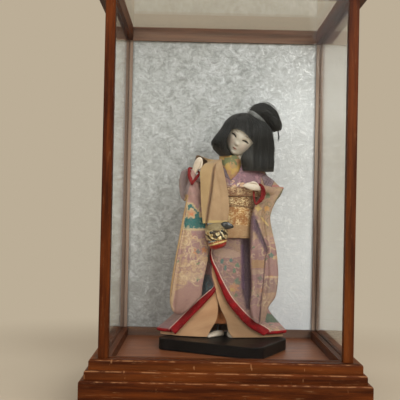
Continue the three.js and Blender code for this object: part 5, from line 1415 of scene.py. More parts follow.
SKIRT_MARKS = (
    ("front_shade", ((-24, 156), (36, 156), (36, 60), (24, 52), (-10, 96), (-24, 128)), 0, 3, 6.0,
     (112, 82, 80), 0.5),
    ("clouds", ((-14.5, 137), (8.5, 135.5), (27.5, 127.5), (8.5, 123), (-12.5, 126)), 0, 7, 0.8,
     (188, 158, 132), 0.55),
    ("skirt_curls", curls((-12, 84), (26, 140), 16, 9, 3), 0.7, 1.2, 0.4, (184, 152, 138), 0.6),
    ("skirt_pinks", curls((0, 92), (24, 116), 8, 4, 13), 0.8, 0.8, 0.4, (190, 142, 136), 0.7),
    ("teal_leaves", (petals(-3.5, 119.2, 3.6, 2), petals(8.5, 121, 3.2, 3), petals(1, 111, 3.4, 2)),
     0, 5, 0.5, (70, 112, 104), 0.85),
    ("green_leaves", (petals(17, 114.4, 3.6, 3), petals(13, 107, 3.2, 2)), 0, 5, 0.5, (84, 118, 92),
     0.85),
    ("big_leaf", petals(17, 92.5, 5.8, 3), 0, 8, 0.8, (92, 118, 98), 0.75),
    ("big_flower", petals(13.5, 84, 7.4, 6), 0, 9, 1.2, (186, 130, 94), 0.75),
    ("low_leaf", petals(16, 74.4, 3, 3), 0, 5, 0.6, (96, 112, 82), 0.8),
    ("flower_heart", petals(11, 82, 3.4, 5), 0, 5, 0.8, (176, 148, 76), 0.7),
    ("lap_shade",
     ((-22.5, 131), (-14.5, 119), (-10, 98), (-9.5, 80), (-29.5, 68), (-31, 98), (-27.5, 111)),
     0, 4, 1.5, (92, 56, 54), 0.9),
    # The teal motif under the lap, darkened almost to black by painted shade.
    ("lap_teal", ((-30, 103), (-19, 100), (-13, 84), (-29.5, 66)), 0, 5, 1.5, (34, 46, 52), 0.95),
    ("lap_light", curls((-24, 80), (-16, 92), 5, 6, 4), 0.8, 0.8, 0.5, (66, 92, 96), 0.8),
    ("hem_green", ((59, 49), (69, 46), (78, 38.5), (77, 35), (57, 37)), 0, 5, 0.8, (62, 98, 78), 0.85),
    # Painted shade over the left of the hem.
    ("hem_dull", ((-55, 52), (-53, 40), (-68.5, 20), (-94.5, 20), (-85, 52)), 0, 8, 3.0, (124, 94, 96),
     0.7),
    # Painted shadow in the pleat, with painted light along its left edge.
    ("pleat", ((20, 152), (34, 152), (35.5, 119), (36.5, 82), (35, 56), (30, 54), (24, 82), (23.5, 119)),
     0, 3, 2.5, (62, 40, 54), 0.95),
    ("pleat_glow", ((23.5, 140), (24, 112), (25, 84)), 2.2, 1, 1.5, (112, 80, 110), 0.6),
)
robe = thickened(sew("robe_skirt_cloth", robe_rows), 1.3)
dye_marks(robe, SKIRT_MARKS)
on_doll(robe, "robe_skirt", kimono_finish("skirt_silk", cloth_map, -0.05, SKIRT_MARKS, 7.3))

# Padded edges: crimson silk rolls stuffed with cotton, sewn along the robe's front edges and hem
# with a fine pale piping between them and the robe.
OVER_WIDTH = ((24.5, 12), (40, 11.4), (54, 10.4), (69, 9.4), (85, 7.2), (96, 6), (110, 4.6), (128, 3),
              (151.5, 1.6))
UNDER_WIDTH = ((24.5, 12.6), (45, 12.4), (55, 11.2), (65, 10), (84, 6), (92, 5))
BAND_THICK = 2.1
HEM_HALF = (2.2, 1.8)
PIPING = 0.7


def padded_run(name, stations, sides=18):
    """A stuffed roll through stations of a middle, an across and an outward vector, closed at its ends."""
    rows = []
    last = len(stations) - 1
    for index, (middle, across, outward) in enumerate(stations):
        size = 0.0 if index in (0, last) else 1.0
        line = []
        for angle in all_round(sides):
            wide = boxed(math.cos(angle), 0.7)
            line.append(spot(*(middle + (across * wide + outward * math.sin(angle)) * size)))
        rows.append(line)
    return stuffed(name, rows)


def edge_band(name, edge, widths, towards, tuck, first, last, count):
    """The roll on one front edge; towards is 1 with the slit on the left and -1 with it on the right.
    Above the height tuck the roll slips in under the cloth in front of it."""
    stations = []
    pipes = []
    for height in spread(first, last, count):
        here = robe_edge(edge, height)
        run = robe_edge(edge, height - 1) - robe_edge(edge, height + 1)
        angle = front_angle(edge, height)
        sideways = robe_point(height, angle + 0.02) - robe_point(height, angle - 0.02)
        outward = sideways.cross(run).normalized()
        outward = outward if outward.y < 0 else -outward
        across = run.cross(outward).normalized() * towards
        across = across if across.x * towards < 0 else -across
        half = along(widths, height)[1] / 2
        sink = 4.5 * max(0.0, (height - tuck) / 10) ** 2 if height > tuck else 0.0
        here = here - outward * sink
        puff = 0.15 * math.sin(height / 3.1)
        middle = here + across * (half * 0.96) + outward * 0.5
        stations.append((middle, across * half, outward * (BAND_THICK + puff)))
        pipes.append((here + outward * 1.1, across * PIPING, outward * PIPING))
    return padded_run(name, stations), padded_run(name + "_piping", pipes, 8)


def hem_band(name, first, last, count):
    """The roll under the hem, from a front edge to the middle of the back."""
    stations = []
    for angle in spread(first, last, count):
        here = robe_point(HEM, angle)
        run = robe_point(HEM, angle + 0.02) - robe_point(HEM, angle - 0.02)
        outward = run.cross(Vector((0, 0, 1))).normalized()
        middle = here - Vector((0, 0, HEM_HALF[0] * 0.8))
        stations.append((middle, Vector((0, 0, HEM_HALF[0])), outward * HEM_HALF[1]))
    return padded_run(name, stations)


crimson_silk, place = new_finish("crimson_silk")
cloudy = noise(place, 120.0)
ribs = noise(place, 1700.0, 2.0)
tone = cloudy.rise(0.3, 0.72).blend(dye(112, 4, 10), dye(152, 10, 18))
tone = (ribs.rise(0.5, 0.7) * 0.2).blend(tone, dye(160, 30, 34))
close_finish(tone, 0.5 + 0.1 * cloudy, bump(2 * cloudy + 0.5 * ribs, 0.3, 0.0005),
             {"Sheen Weight": 0.04, "Sheen Roughness": 0.35, "Specular IOR Level": 0.2})
pale_piping, place = new_finish("pale_piping")
twist = noise(place, 900.0, 3.0)
tone = twist.rise(0.35, 0.65).blend(dye(190, 144, 130), dye(238, 212, 192))
close_finish(tone, 0.6, bump(twist, 0.4, 0.0002), {"Sheen Weight": 0.2})


def put_on(finish, *parts):
    """Gives parts one finish before they are joined."""
    for part in parts:
        part.data.materials.append(finish)


def finished_band(name, roll, piping, hem, node):
    """Roll, piping and hem of one side as one sewn piece."""
    put_on(crimson_silk, roll, hem)
    put_on(pale_piping, piping)
    piece = joined(name, [roll, hem, piping])
    on_doll(piece, node)


roll, piping = edge_band("edge_over", OVER_EDGE, OVER_WIDTH, 1, 170, 150, 22, 70)
hem = hem_band("hem_over", front_angle(OVER_EDGE, HEM) - 0.1, math.pi, 90)
finished_band("padded_edge_over", roll, piping, hem, "hem_band_left")
roll, piping = edge_band("edge_under", UNDER_EDGE, UNDER_WIDTH, -1, 76, 92, 22, 52)
hem = hem_band("hem_under", front_angle(UNDER_EDGE, HEM) + 0.06, -math.pi, 70)
finished_band("padded_edge_under", roll, piping, hem, "hem_band_right")

# Under-robe: plain peach-tan cotton inside the robe, open at the front in a long slit.
# It hangs from the waist and shows between the red edges and under the hem.
LINING_HEIGHTS = (16.4, 138)
LINING_INSET = 3.9
LINING_TURN = (2.9, 9.0)
LINING_RIGHT = ((16.2, 13), (19.3, 10.5), (23, 7.5), (40.5, 3.3), (55.9, -3.8), (73.2, -9), (90.3, -12.3),
                (99.9, -15.2), (111.4, -16.5), (138, -17.5))
LINING_LEFT = ((16.2, -22), (18.5, -20.3), (27.8, -16), (36.2, -11.1), (43, -8.7), (52, -7.6), (65, -8.2),
               (73.1, -10.4), (92.7, -13), (119.2, -17), (138, -18.5))
lining_rows = []
for height in spread(*LINING_HEIGHTS, 56):
    row = along(ROBE, height)
    inner = (*row[:3], *(half - LINING_INSET for half in row[3:]))
    first = edge_angle(inner, LINING_RIGHT, height)
    last = edge_angle(inner, LINING_LEFT, height) + math.tau
    line = []
    for angle in spread(first, last, 180):
        near_slit = max(0.0, 1 - (angle - first) * inner[3] / LINING_TURN[1])
        point = robe_point(max(height, HEM), angle, LINING_TURN[0] * near_slit ** 1.5 - LINING_INSET)
        line.append(spot(point.x, point.y, height))
    lining_rows.append(line)
lining = thickened(sew("peach_under_robe", lining_rows), 1.2)


def plain_cotton(name, light, dark, shades=None):
    """Plain cotton with a soft mottle; shades adds dyed marks and painted light and shade to its colour."""
    made, cloth = new_finish(name, "cloth")
    cloudy = noise(cloth, 34.0, 5.0)
    slubs = noise(cloth, (120, 1500, 1), 3.0)
    tone = cloudy.rise(0.3, 0.72).blend(dark, light)
    tone = (slubs.rise(0.55, 0.75) * 0.3).blend(tone, light)
    if shades:
        tone = shades(tone)
    threads = weave(cloth, 0.0007)
    close_finish(tone, 0.8, bump(threads + slubs + cloudy, 0.3, 0.0003), {"Sheen Weight": 0.2})
    return made


def lining_shade(tone):
    """Painted light on the left flap and painted shade on the right one."""
    across, _, height = doll_axes(tone)
    right = (across + 0.12 * (height - 30)).rise(-8, 4)
    return (right * 0.55).blend((0.35 * (1 - right)).blend(tone, dye(222, 168, 124)), dye(148, 114, 80))


peach_cotton = plain_cotton("peach_cotton", dye(200, 158, 116), dye(172, 126, 86), lining_shade)
on_doll(lining, "under_robe", peach_cotton)

# Underskirt: a narrow tube of brown-orange cotton round the legs, tied under the robe.
# It shows only as a dark strip in the slit.
UNDERSKIRT = ((34, 0, 19, 31, 19, 21), (90, 5, 12, 29, 16.5, 19.2), (132, 9.5, 9.5, 20, 13.4, 13.4))
underskirt_rows = oval_rings(UNDERSKIRT, heights(UNDERSKIRT, 36), 96,
                             lambda height, angle: 0.9 * math.sin(11 * angle) * (132 - height) / 98)
underskirt = thickened(sew("narrow_underskirt", underskirt_rows, loop=True), 1.0)
finish = plain_cotton("russet_cotton", dye(196, 118, 58), dye(140, 78, 38))
on_doll(underskirt, "underskirt", finish)

# Sleeves: long swinging sleeves of the mauve silk, sewn to the robe at the shoulder and hung from the
# bent arms. The right one is cream below a teal band, the left one hangs in two lobes.
RIGHT_SLEEVE = ((47.3, -63, -57, -15.5, 2), (49.5, -66.5, -53.5, -15.8, 3), (53, -69.5, -48, -16.2, 4),
                (58.5, -71.5, -43, -16.6, 4.8), (64, -72.5, -37.5, -17, 5.3),
                (72, -72.5, -31, -17.4, 5.7), (84, -72, -29.5, -17.9, 5.9), (104, -69.5, -26, -18.4, 6),
                (120, -67, -23, -18, 6), (136, -64.5, -22, -17, 6), (157, -61, -23, -14.4, 6.2),
                (176, -58, -25.5, -12.4, 6.4), (200, -53.5, -31, -10, 6.5), (212, -51, -32.5, -9, 6.5),
                (226, -49, -35, -9, 5.5))
RIGHT_LAP = ((-52, 0, 243, 2, 1.5), (-56, 0.5, 238, 6, 2.2), (-57.4, 1, 228, 6.8, 2.5),
             (-57.2, 1, 214, 6.6, 2.5), (-56.2, 0, 205, 5.4, 2.4), (-54.8, -2, 199.5, 2, 1.5))
RIGHT_UPPER = ((-12, 9, 232, 9, 11), (-22, 7, 226, 9.4, 12.6), (-32, 4.5, 219, 9.2, 13.4),
               (-44, -1, 209, 8.4, 13.4), (-52, -4.6, 202.6, 5.4, 9.4))
RIGHT_WRIST = ((-49, -7, 208, 7, 6), (-48, -9.6, 218, 6.4, 5.4), (-45.6, -12, 230, 5.2, 4.4),
               (-44.2, -12.8, 239, 4.6, 3.8), (-43.8, -13, 242, 3.4, 2.8))
LEFT_SLEEVE = ((37, 45, 51, -14, 2), (39.5, 41, 53, -14.2, 3), (44, 38.5, 55.5, -14.5, 4),
               (52, 36.5, 58.5, -15.5, 5), (60, 35, 60, -16.2, 5.6), (66, 35.5, 64, -16.5, 6),
               (74, 36, 69, -16.5, 6.4), (98, 36, 72, -16.5, 7), (119, 34, 71, -16.5, 7),
               (138, 33.5, 68.5, -16.5, 7), (155, 33.5, 64.5, -15.5, 7), (178, 34, 60, -14, 7),
               (190, 37, 62.5, -13, 7.2), (200, 41, 67, -12, 7.5), (209, 47.5, 72, -10, 7.2),
               (215.5, 55.5, 76.5, -8, 6), (221, 63.5, 79, -7, 4))
LEFT_UPPER = ((42, 9, 232, 9, 11), (50, 7.6, 227, 9.4, 12), (58, 4.4, 221, 9, 12), (66, -1, 214, 8, 11),
              (72, -5, 209, 5.2, 8))
LEFT_WRIST = ((66, -4, 212, 8, 7.4), (61, -12, 214, 7, 7), (54, -18.4, 216.6, 5.4, 5.6),
              (48.6, -21.2, 218.2, 4.2, 4.4), (46.6, -22, 218.6, 2.6, 3))
SLEEVE_VOXEL = 0.0012
SLEEVE_EASING = 4


def hung_sleeve(name, table, folds):
    """The flat hanging bag of a sleeve; folds gives how far its front stands back at a place across."""
    rows = []
    for height in heights(table, 72):
        _, left, right, middle_y, half = along(table, height)
        line = []
        for angle in all_round(88):
            wide = -boxed(math.cos(angle), 0.75)
            thick = boxed(math.sin(angle), 0.75)
            x = (left + right) / 2 + (right - left) / 2 * wide
            back = folds((x - left) / (right - left), height)
            y = middle_y - half * thick + back * (0.5 + 0.5 * math.sin(angle))
            line.append(spot(x, y, height))
        rows.append(line)
    return drawn_out(name, rows)


def one_cloth(name, pieces):
    """Joins overlapping pieces into one cloth surface and smooths it."""
    piece = joined(name, pieces)
    reshaped(piece, "REMESH", mode="VOXEL", voxel_size=SLEEVE_VOXEL)
    reshaped(piece, "SMOOTH", factor=0.5, iterations=SLEEVE_EASING)
    bpy.ops.object.shade_smooth()
    return piece


def right_folds(share, height):
    """A long crease near the outer edge, a soft one inside it and small ones at the arm."""
    hang = limited((205 - height) / 40)
    crease = 2.6 * hang * near(share - 0.16 - 0.02 * math.sin(height / 30), 0.045)
    hollow = 1.5 * hang * near(share - 0.62 - 0.1 * math.sin(height / 42), 0.14)
    arm = 1.1 * (1 - hang) * math.sin(9 * share + height / 4)
    return crease + hollow + arm


def left_folds(share, height):
    """A deep fold that splits the sleeve into two lobes and a soft one at each side."""
    hang = limited((214 - height) / 26)
    middle = 0.5 + 0.12 * math.sin((height - 60) / 55)
    crease = 5.2 * hang * near(share - middle, 0.075)
    side_crease = 2.0 * hang * near(share - 0.8, 0.06)
    inner = 1.6 * hang * near(share - 0.2 - 0.05 * math.sin(height / 25), 0.07)
    return crease + side_crease + inner


RIGHT_SLEEVE_MARKS = (
    ("arm_plain", ((-60, 193), (-24, 195), (-25.5, 252), (-61.5, 252)), 0, 4, 0.8, (170, 130, 124), 0.85),
    # Painted shade: grey mauve where the sleeve turns back by the shoulder.
    ("lap_grey", ((-50, 246), (-69, 241), (-68, 192), (-54.5, 196), (-49, 221)), 0, 3, 0.6,
     (130, 116, 116), 0.85),
    ("teal_band",
     ((-51.5, 195), (-46.5, 195), (-41, 189), (-36.5, 184.3), (-35, 178), (-27.5, 176.3), (-26.5, 163),
      (-55, 162.4), (-55.5, 175.2), (-52, 177), (-50.5, 189)),
     0, 7, 0.4, (40, 104, 100), 1.0, (2.4, (198, 172, 132))),
    ("teal_foam", curls((-55, 162), (-27, 164.5), 16, 4, 31), 0.5, 0.8, 0.5, (190, 174, 140), 0.7),
    ("teal_glints", curls((-54, 166), (-28, 176), 7, 3, 32), 0.3, 0.6, 0.4, (120, 156, 144), 0.6),
    ("sleeve_flower", petals(-46, 182.6, 6.4, 5), 0, 9, 0.8, (194, 150, 112), 1.0,
     (1.1, (204, 178, 138))),
    ("sleeve_heart", petals(-45.5, 181.6, 3.2, 5), 0, 4, 0.6, (204, 130, 88), 1.0),
    ("plum_band", ((-47.5, 159.5), (-26.5, 160), (-25, 149), (-43, 151)), 0, 6, 1.0, (142, 106, 120),
     0.65),
    ("small_orange", petals(-28, 134.5, 4.4, 5), 0, 3, 0.5, (200, 134, 88), 0.9),
    ("small_teal", petals(-36, 132, 3.6, 4), 0, 3, 0.5, (84, 124, 112), 0.9),
    ("sprigs", petals(-36, 95.5, 3.6, 4), 0, 4, 0.5, (88, 118, 92), 0.85),
    ("cream_bank",
     ((-59, 100), (-47.5, 105), (-31.5, 117), (-24.5, 116), (-28, 98), (-44, 92), (-58, 93)),
     0, 10, 0.8, (194, 166, 134), 0.6),
    ("low_plain",
     ((-66, 78), (-47, 90), (-31, 92), (-26.5, 73), (-38.5, 58), (-54, 46), (-66, 48), (-69, 64)),
     0, 8, 0.8, (162, 124, 114), 0.9),
    ("low_cream", ((-76, 88), (-66, 88), (-67, 66), (-75, 52)), 0, 6, 0.8, (190, 160, 124), 0.7),
    ("sleeve_curls", curls((-64, 92), (-28, 156), 22, 12, 9), 0.75, 1.2, 0.4, (212, 186, 148), 0.7),
    ("sleeve_mauves", curls((-64, 96), (-28, 156), 16, 9, 10), 1.0, 2.0, 0.5, (146, 106, 106), 0.6),
    ("low_lines", curls((-68, 47), (-46, 64), 10, 9, 15), 0.35, 0.4, 0.35, (112, 80, 76), 0.6),
    ("edge_strip", ((-52.5, 206), (-55.5, 191.7), (-60.5, 157), (-66.5, 125), (-70.5, 93), (-73, 72)),
     2.3, 2, 0.5, (190, 152, 102), 0.9),
    # Painted shadow along the crease near the outer edge.
    ("edge_line", ((-52.5, 190), (-57.5, 157), (-63.5, 125), (-68, 93), (-70.5, 72)), 0.45, 0.6, 0.4,
     (88, 60, 54), 0.8),
)
LEFT_SLEEVE_MARKS = (
    ("tan_top",
     ((42, 197), (49, 236), (81.5, 224), (72, 199), (62, 181), (64.5, 157), (50.5, 153), (40, 189)),
     0, 6, 0.8, (164, 136, 104), 0.7),
    ("corner_pink", ((62.5, 222), (71.5, 222.5), (77.5, 219.7)), 1.5, 1.5, 0.5, (172, 98, 94), 0.8),
    ("corner_olive", ((77, 217), (70.5, 206), (66.5, 199)), 1.7, 2, 0.5, (112, 112, 80), 0.8),
    ("top_green", petals(56, 208.3, 4.6, 3), 0, 6, 0.6, (100, 118, 84), 0.8),
    ("top_gold", petals(55, 191.7, 4.4, 5), 0, 3, 0.5, (200, 152, 88), 0.85),
    ("by_hand", petals(43, 191.7, 4.8, 4), 0, 3, 0.6, (204, 174, 106), 0.85),
    ("yellow_line", ((47, 180), (52.5, 173.5), (56.5, 169)), 1.1, 3, 0.5, (206, 176, 110), 0.8),
    ("tuck_over", SHOULDER_TUCK, 0, 0, 0.4, (138, 116, 120), 0.9, PIPED),
    ("tuck_over_lines", lattice(TUCK_CORNERS, 4), 0.7, 0.6, 0.5, TUCK_LINES, 0.9),
    ("mustard", ((35.5, 122.5), (53.5, 123), (53.5, 112), (35.5, 111)), 0, 5, 0.6, (188, 148, 80), 0.85),
    ("scallops", ((35.5, 110), (52.5, 111), (53, 104), (36, 103)), 0, 9, 0.6, (198, 170, 132), 0.7),
    ("left_sprig", petals(47.5, 98.5, 4, 4), 0, 4, 0.5, (88, 116, 88), 0.85),
    ("left_teal", petals(61.5, 129, 4.2, 5), 0, 3, 0.5, (84, 122, 108), 0.85),
    ("left_plain", ((56, 124), (69.5, 124), (72, 102), (56, 102)), 0, 3, 0.8, (158, 122, 116), 0.85),
    ("left_line", ((54, 100), (72, 100.5)), 1.0, 2, 0.5, (204, 176, 132), 0.8),
    ("left_grey", ((52, 98), (72, 98), (71, 80), (51, 78)), 0, 4, 1.0, (146, 118, 110), 0.85),
    ("left_tan", ((50, 76), (68, 78), (67, 66), (58.5, 60), (55, 40), (48, 40)), 0, 8, 0.8,
     (172, 142, 116), 0.7),
    # Painted shade over the left lobe.
    ("left_lobe", ((35, 136), (54, 136), (50, 64), (36, 60)), 0, 5, 2.0, (132, 100, 102), 0.45),
    ("left_curls", curls((37, 62), (70, 132), 20, 10, 12), 0.7, 1.2, 0.4, (200, 174, 144), 0.65),
    ("top_curls", curls((46, 160), (74, 216), 16, 9, 14), 0.7, 1.2, 0.4, (118, 112, 84), 0.6),
    ("inner_shade", ((31, 182), (37, 181), (37, 154), (36, 136), (32, 136)), 0, 1, 1.5, (92, 64, 74),
     0.75),
    # Painted shadow in the fold under the arm and along its crease.
    ("fold_wedge", ((35, 190), (38.5, 184.3), (45, 165), (54.5, 141), (53, 134), (45, 148), (36.5, 164)),
     0, 1, 2.4, (82, 58, 78), 0.9),
    ("fold_line", ((40, 176), (47, 158), (55, 140), (55, 134)), 1.1, 1, 1.0, (46, 30, 40), 0.9),
    # Painted shadow along the deep fold between the two lobes.
    ("groove", ((57, 137), (53.5, 124), (51.5, 93), (49.5, 73), (48, 40)), 0.9, 1, 0.8, (84, 56, 60),
     0.85),
)


def finished_sleeve(side, parts, mist, marks, seed):
    """A sleeve's parts as one cloth of figured silk."""
    cloth = one_cloth(f"sleeve_{side}_cloth", parts)
    dye_marks(cloth, marks)
    silk = kimono_finish(f"{side}_sleeve_silk", front_map, mist, marks, seed)
    on_doll(cloth, f"sleeve_{side}", silk)


right_parts = [hung_sleeve("hung_right", RIGHT_SLEEVE, right_folds),
               bent_tube("upper_right", RIGHT_UPPER, 28),
               bent_tube("lap_right", RIGHT_LAP, 28, Vector((0, -1, 0))),
               bent_tube("wrist_right", RIGHT_WRIST, 24)]
left_parts = [hung_sleeve("hung_left", LEFT_SLEEVE, left_folds),
              bent_tube("upper_left", LEFT_UPPER, 28),
              bent_tube("wrist_left", LEFT_WRIST, 24)]
finished_sleeve("right", right_parts, 0.07, RIGHT_SLEEVE_MARKS, 1.3)
finished_sleeve("left", left_parts, -0.04, LEFT_SLEEVE_MARKS, 5.9)

# Cuffs: flat padded bands of dull crimson silk, sewn round the sleeve mouths at the wrists.
# Each is broad at one side and runs out to a point where the mouth hangs lowest.
RIGHT_CUFF = ((-49.5, -11, 243.6, 1.6), (-49.7, -13.5, 238, 2.7), (-48.8, -16, 231.6, 2.9),
              (-47.4, -17.5, 226, 2.2), (-45.8, -18, 221.4, 1.1), (-44, -18, 225.4, 1.6),
              (-40.5, -17.5, 230, 2.3), (-37.5, -16, 234.6, 2.3), (-36.5, -12, 237.4, 1.8),
              (-42, -7.4, 241.8, 1.6))
LEFT_CUFF = ((44.6, -27, 222.6, 1.6), (47.8, -27.2, 218.4, 2.6), (48.8, -27, 212.5, 3.3),
             (47.4, -26.6, 205.5, 3.1), (43.6, -26, 200.4, 2.3), (39.6, -25, 196.8, 1.2),
             (37.6, -23, 202, 1.2), (36.8, -20.6, 209, 1.2), (37.4, -18.6, 216, 1.2),
             (40.5, -19.4, 221.8, 1.4))
CUFF_THICK = 1.2
dull_crimson, place = new_finish("dull_crimson")
cloudy = noise(place, 160.0)
tone = cloudy.rise(0.3, 0.7).blend(dye(102, 14, 18), dye(138, 44, 42))
close_finish(tone, 0.6, bump(cloudy, 0.3, 0.0005), {"Specular IOR Level": 0.12})


def cuff(name, loop, node):
    """A padded band round a sleeve's mouth, through a loop of places with a half width each."""
    closed = [*loop[-2:], *loop, *loop[:3]]
    table = [(index - 2, *point) for index, point in enumerate(closed)]
    middle = sum((Vector(point[:3]) for point in loop), Vector()) / len(loop)
    rows = []
    count = 10 * len(loop)
    for station in range(count + 1):
        index = station % count / 10
        *here, half = along(table, index)[1:]
        here = Vector(here)
        run = Vector(along(table, index + 0.1)[1:4]) - Vector(along(table, index - 0.1)[1:4])
        inward = middle - here
        inward = (inward - run * (inward.dot(run) / run.length_squared)).normalized()
        flat = run.cross(inward).normalized()
        line = []
        for angle in all_round(16):
            swell = half * (1 + 0.06 * math.sin(station * 0.9))
            point = here + inward * (swell * math.cos(angle)) + flat * (CUFF_THICK * math.sin(angle))
            line.append(spot(*point))
        rows.append(line)
    piece = stuffed(name, rows)
    on_doll(piece, node, dull_crimson)


cuff("padded_cuff_right", RIGHT_CUFF, "cuff_right")
cuff("padded_cuff_left", LEFT_CUFF, "cuff_left")

# Shoulder cloth: a plain tan cotton cloth laid over the right shoulder, its back corner held in the raised
# hand. It hangs in one deep fold down to the mask, with a narrow yellow hem.
SHAWL = ((-43, 2, 247, -18.4, 9.4, 245.4), (-40, -4, 261.5, -18, 7, 251.4),
         (-25.6, -2, 253.4, -7.4, -3.4, 256.8), (-31, -15, 248, -6.4, -8, 252),
         (-35.6, -21, 239, -4.4, -13.5, 243), (-34.8, -24.5, 224, -1.2, -17.5, 227),
         (-34, -26, 206, 2.4, -20, 208), (-32.8, -27, 190, 3.8, -22, 190),
         (-30.5, -28.5, 170, 1.6, -26.5, 171.5))
SHAWL_FOLD = (0.58, 0.05, 4.6)
shawl_table = [(index, *row) for index, row in enumerate(SHAWL)]
shawl_rows = []
for index in spread(len(SHAWL) - 1, 0, 96):
    row = along(shawl_table, index)[1:]
    left, right = Vector(row[:3]), Vector(row[3:])
    hang = limited((index - 2.4) / 2.0)
    line = []
    for share in spread(0, 1, 64):
        point = left.lerp(right, share)
        fold = SHAWL_FOLD[2] * near(share - SHAWL_FOLD[0] + 0.11 * (index - 4), SHAWL_FOLD[1])
        soft = 1.3 * near(share - 0.66 - 0.03 * (index - 4), 0.05)
        arch = -3.0 * math.sin(math.pi * share)
        point.y += hang * (fold + soft + arch)
        line.append(spot(*point))
    shawl_rows.append(line)
shawl = thickened(sew("tan_shawl", shawl_rows), 1.2)


def shawl_hem(tone):
    """The yellow hem at the foot, the yellowed left border, and painted shade in the fold and on the back."""
    across, depth, height = doll_axes(tone)
    from_fold = across + 22.2 - 0.121 * (height - 199.4)
    hem = 1 - height.rise(173.5, 175)
    tone = (hem * 0.6).blend(tone, dye(196, 170, 104))
    border = 1 - from_fold.rise(-4, 0)
    tone = (border * 0.5).blend(tone, dye(172, 142, 92))
    # Painted shade along the deep fold and over the back layer of the cloth.
    crease = 1 - abs(from_fold).rise(0.5, 3.0)
    tone = (crease * (1 - height.rise(243, 252)) * 0.7).blend(tone, dye(124, 88, 54))
    behind = (depth - 0.25 * (across + 25)).rise(-4, 0)
    return (behind * 0.85).blend(tone, dye(86, 62, 42))


finish = plain_cotton("tan_cotton", dye(182, 150, 112), dye(156, 124, 90), shawl_hem)
on_doll(shawl, "shoulder_cloth", finish)

# Lion mask: a small lion-dance head of lacquered paper that hangs under the cloth: a gilt dome with brows,
# eyes and a snout, a red hinged jaw with gilt lips and teeth, and black ears.
MASK_ROWS = ((148, -12.5, -31, 13, 17, 9), (152, -12.5, -31, 14.6, 17.5, 10),
             (157, -12.5, -31, 15, 14.5, 10.5), (163, -12.5, -31, 14.2, 13, 10),
             (168, -12.5, -30.5, 11.5, 10.5, 8.5), (171.2, -12.5, -30, 7, 6.5, 5.6))
JAW_ROWS = ((136.6, -13, -31.5, 6.5, 8, 4), (138, -13, -31.5, 9, 11, 5.4),
            (141, -12.8, -31.5, 11.4, 13.8, 6.5), (145, -12.6, -31.2, 12.2, 15.4, 7.4),
            (147.7, -12.5, -31, 12.5, 16, 8))
MASK_MIDDLE = (-12.5, -31)
MASK_LEAN = (158, -10)
JAW_LEAN = (143, -7)
MASK_RIDGES = (("brow", ((162, 52), (164.5, 36), (163, 18), (159, 6))),
               ("cheek", ((158, 64), (155, 46), (151.5, 30), (150, 14))),
               ("lip", ((149, 74), (149.2, 48), (149.4, 22), (149.6, -4))),
               ("snout", ((160, 4), (157, 9), (154, 13), (152, 9))))
RIDGE_HALF = 1.3
TOOTH_SECTIONS = ((146.4, 0.9, 1.0), (147.0, 1.2, 1.2), (147.8, 1.1, 1.1), (148.2, 0.5, 0.5))
EYE_SECTIONS = ((-1.6, 0.3), (-1.3, 1.3), (-0.5, 2.1), (0.5, 2.1), (1.3, 1.3), (1.6, 0.3))
RIGHT_EAR = ((-22, -26, 164, 1.4, 2.2), (-23.2, -23, 165, 1.6, 3.8), (-24, -19.5, 165.6, 1.6, 3.6),
             (-24.4, -16.6, 166, 0.8, 1.4))
LEFT_EAR = ((-7.6, -36.4, 167, 1.2, 1.8), (-5, -38.2, 168, 1.7, 4.2), (-1.2, -39.4, 168.2, 2.1, 5.4),
            (3.2, -39.4, 167.6, 2.0, 4.8), (7.2, -39, 166.8, 1.5, 3.0), (10.2, -38.4, 166.2, 0.6, 0.9))


def leaning(height, degrees):
    """A lean to one side, about the mask's middle at a height."""
    middle = Matrix.Translation(spot(*MASK_MIDDLE, height))
    return middle @ Matrix.Rotation(math.radians(degrees), 4, "Y") @ middle.inverted()


def mask_point(height, angle, out):
    """A point on the mask's face."""
    return oval(along(MASK_ROWS, height), angle, out)


def mask_ridge(name, places):
    """A raised stripe on the mask through places of a height and an angle."""
    sections = []
    for index, (height, degrees) in enumerate(places):
        half = RIDGE_HALF * math.sin(math.pi * (index + 0.6) / (len(places) + 0.2))
        sections.append((*mask_point(height, math.radians(degrees), 0.3), half, half))
    return bent_tube(name, sections, 10, Vector((0.2, -0.3, 0.9)))


gilt_parts = [rounded(drawn_out("mask_dome", oval_rings(MASK_ROWS, heights(MASK_ROWS, 12), 40)))]
for name, places in MASK_RIDGES:
    for side in (-1, 1):
        mirrored = [(height, side * degrees) for height, degrees in places]
        gilt_parts.append(rounded(mask_ridge(name, mirrored)))
eye_parts = []
for degrees in (-30, 30):
    angle = math.radians(degrees)
    middle = Vector(mask_point(159.4, angle, -0.2))
    outward = Vector((math.sin(angle), -math.cos(angle), 0))
    sections = [(*(middle + outward * step), size, size) for step, size in EYE_SECTIONS]
    eye_parts.append(rounded(bent_tube("mask_eye", sections, 14)))

aged_gilt, place = new_finish("aged_gilt")
_, depth, height = doll_axes(place)
flaking = noise(place, 300.0)
waves = {"Vector": front_map(place), "Scale": 58.0, "Distortion": 15.0, "Detail": 2.0, "Detail Scale": 1.1}
strokes = place.node("TexWave", {"bands_direction": "DIAGONAL"}, waves, out="Fac").rise(0.5, 0.75)
strokes = strokes * flaking.rise(0.3, 0.45)
tone = flaking.rise(0.35, 0.7).blend(dye(206, 182, 122), dye(150, 118, 66))
ground = flaking.rise(0.4, 0.6).blend(dye(34, 28, 22), dye(84, 66, 40))
face = (1 - height.rise(160, 164)) * (1 - depth.rise(-33, -29))
stroke_tone = flaking.rise(0.45, 0.6).blend(dye(222, 206, 166), dye(168, 136, 78))
tone = face.blend(tone, strokes.blend(ground, stroke_tone))
crown = height.rise(160, 164)
tone = (crown * 0.8).blend(tone, dye(116, 102, 76))
close_finish(tone, 0.34 + 0.3 * crown, bump(flaking + strokes, 0.3, 0.0004),
             {"Metallic": 0.4 - 0.36 * crown})


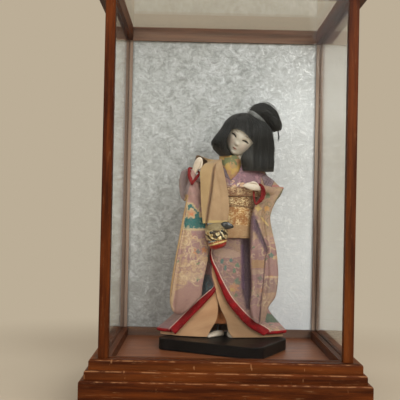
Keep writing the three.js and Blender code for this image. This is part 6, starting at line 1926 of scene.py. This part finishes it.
def painted(name, light, dark, rough, coat):
    """Brushed paint with a little wear and a varnish."""
    made, place = new_finish(name)
    brush = noise(place, 260.0)
    tone = brush.rise(0.3, 0.72).blend(dark, light)
    close_finish(tone, rough + 0.1 * brush, bump(brush, 0.2, 0.0003),
                 {"Coat Weight": coat, "Coat Roughness": 0.15})
    return made


black_paint = painted("black_paint", dye(44, 44, 42), dye(18, 18, 18), 0.3, 0.5)
red_paint = painted("vermilion_paint", dye(176, 44, 34), dye(132, 28, 24), 0.36, 0.3)
put_on(aged_gilt, *gilt_parts)
put_on(black_paint, *eye_parts)
mask = joined("lion_head", gilt_parts + eye_parts)
mask.data.transform(leaning(*MASK_LEAN))
on_doll(mask, "lion_mask")

jaw = rounded(drawn_out("jaw_shell", oval_rings(JAW_ROWS, heights(JAW_ROWS, 8), 36)))
put_on(red_paint, jaw)
lip_sections = []
for degrees in spread(-100, 100, 15):
    end = 0.5 + 0.5 * math.cos(math.radians(degrees) * 0.85)
    point = oval(along(JAW_ROWS, 144.5), math.radians(degrees), 0.3)
    lip_sections.append((*point, 0.9 * end + 0.2, 1.3 * end + 0.2))
lip = rounded(bent_tube("jaw_lip", lip_sections, 10))
gilt_paint = painted("gilt_paint", dye(222, 196, 130), dye(176, 140, 78), 0.3, 0.2)
teeth = []
for degrees in spread(-42, 42, 7):
    x, y, _ = oval(along(JAW_ROWS, 147), math.radians(degrees), -0.6)
    sections = [(x, y, *section) for section in TOOTH_SECTIONS]
    teeth.append(rounded(bent_tube("tooth", sections, 8, Vector((0, 1, 0)))))
put_on(gilt_paint, lip, *teeth)
jaw = joined("lion_chin", [jaw, lip, *teeth])
jaw.data.transform(leaning(*MASK_LEAN) @ leaning(*JAW_LEAN))
on_doll(jaw, "lion_jaw")

for name, sections, node in (("black_ear_right", RIGHT_EAR, "lion_ear_right"),
                             ("black_ear_left", LEFT_EAR, "lion_ear_left")):
    ear = rounded(bent_tube(name, sections, 16), 2)
    on_doll(ear, node, black_paint)
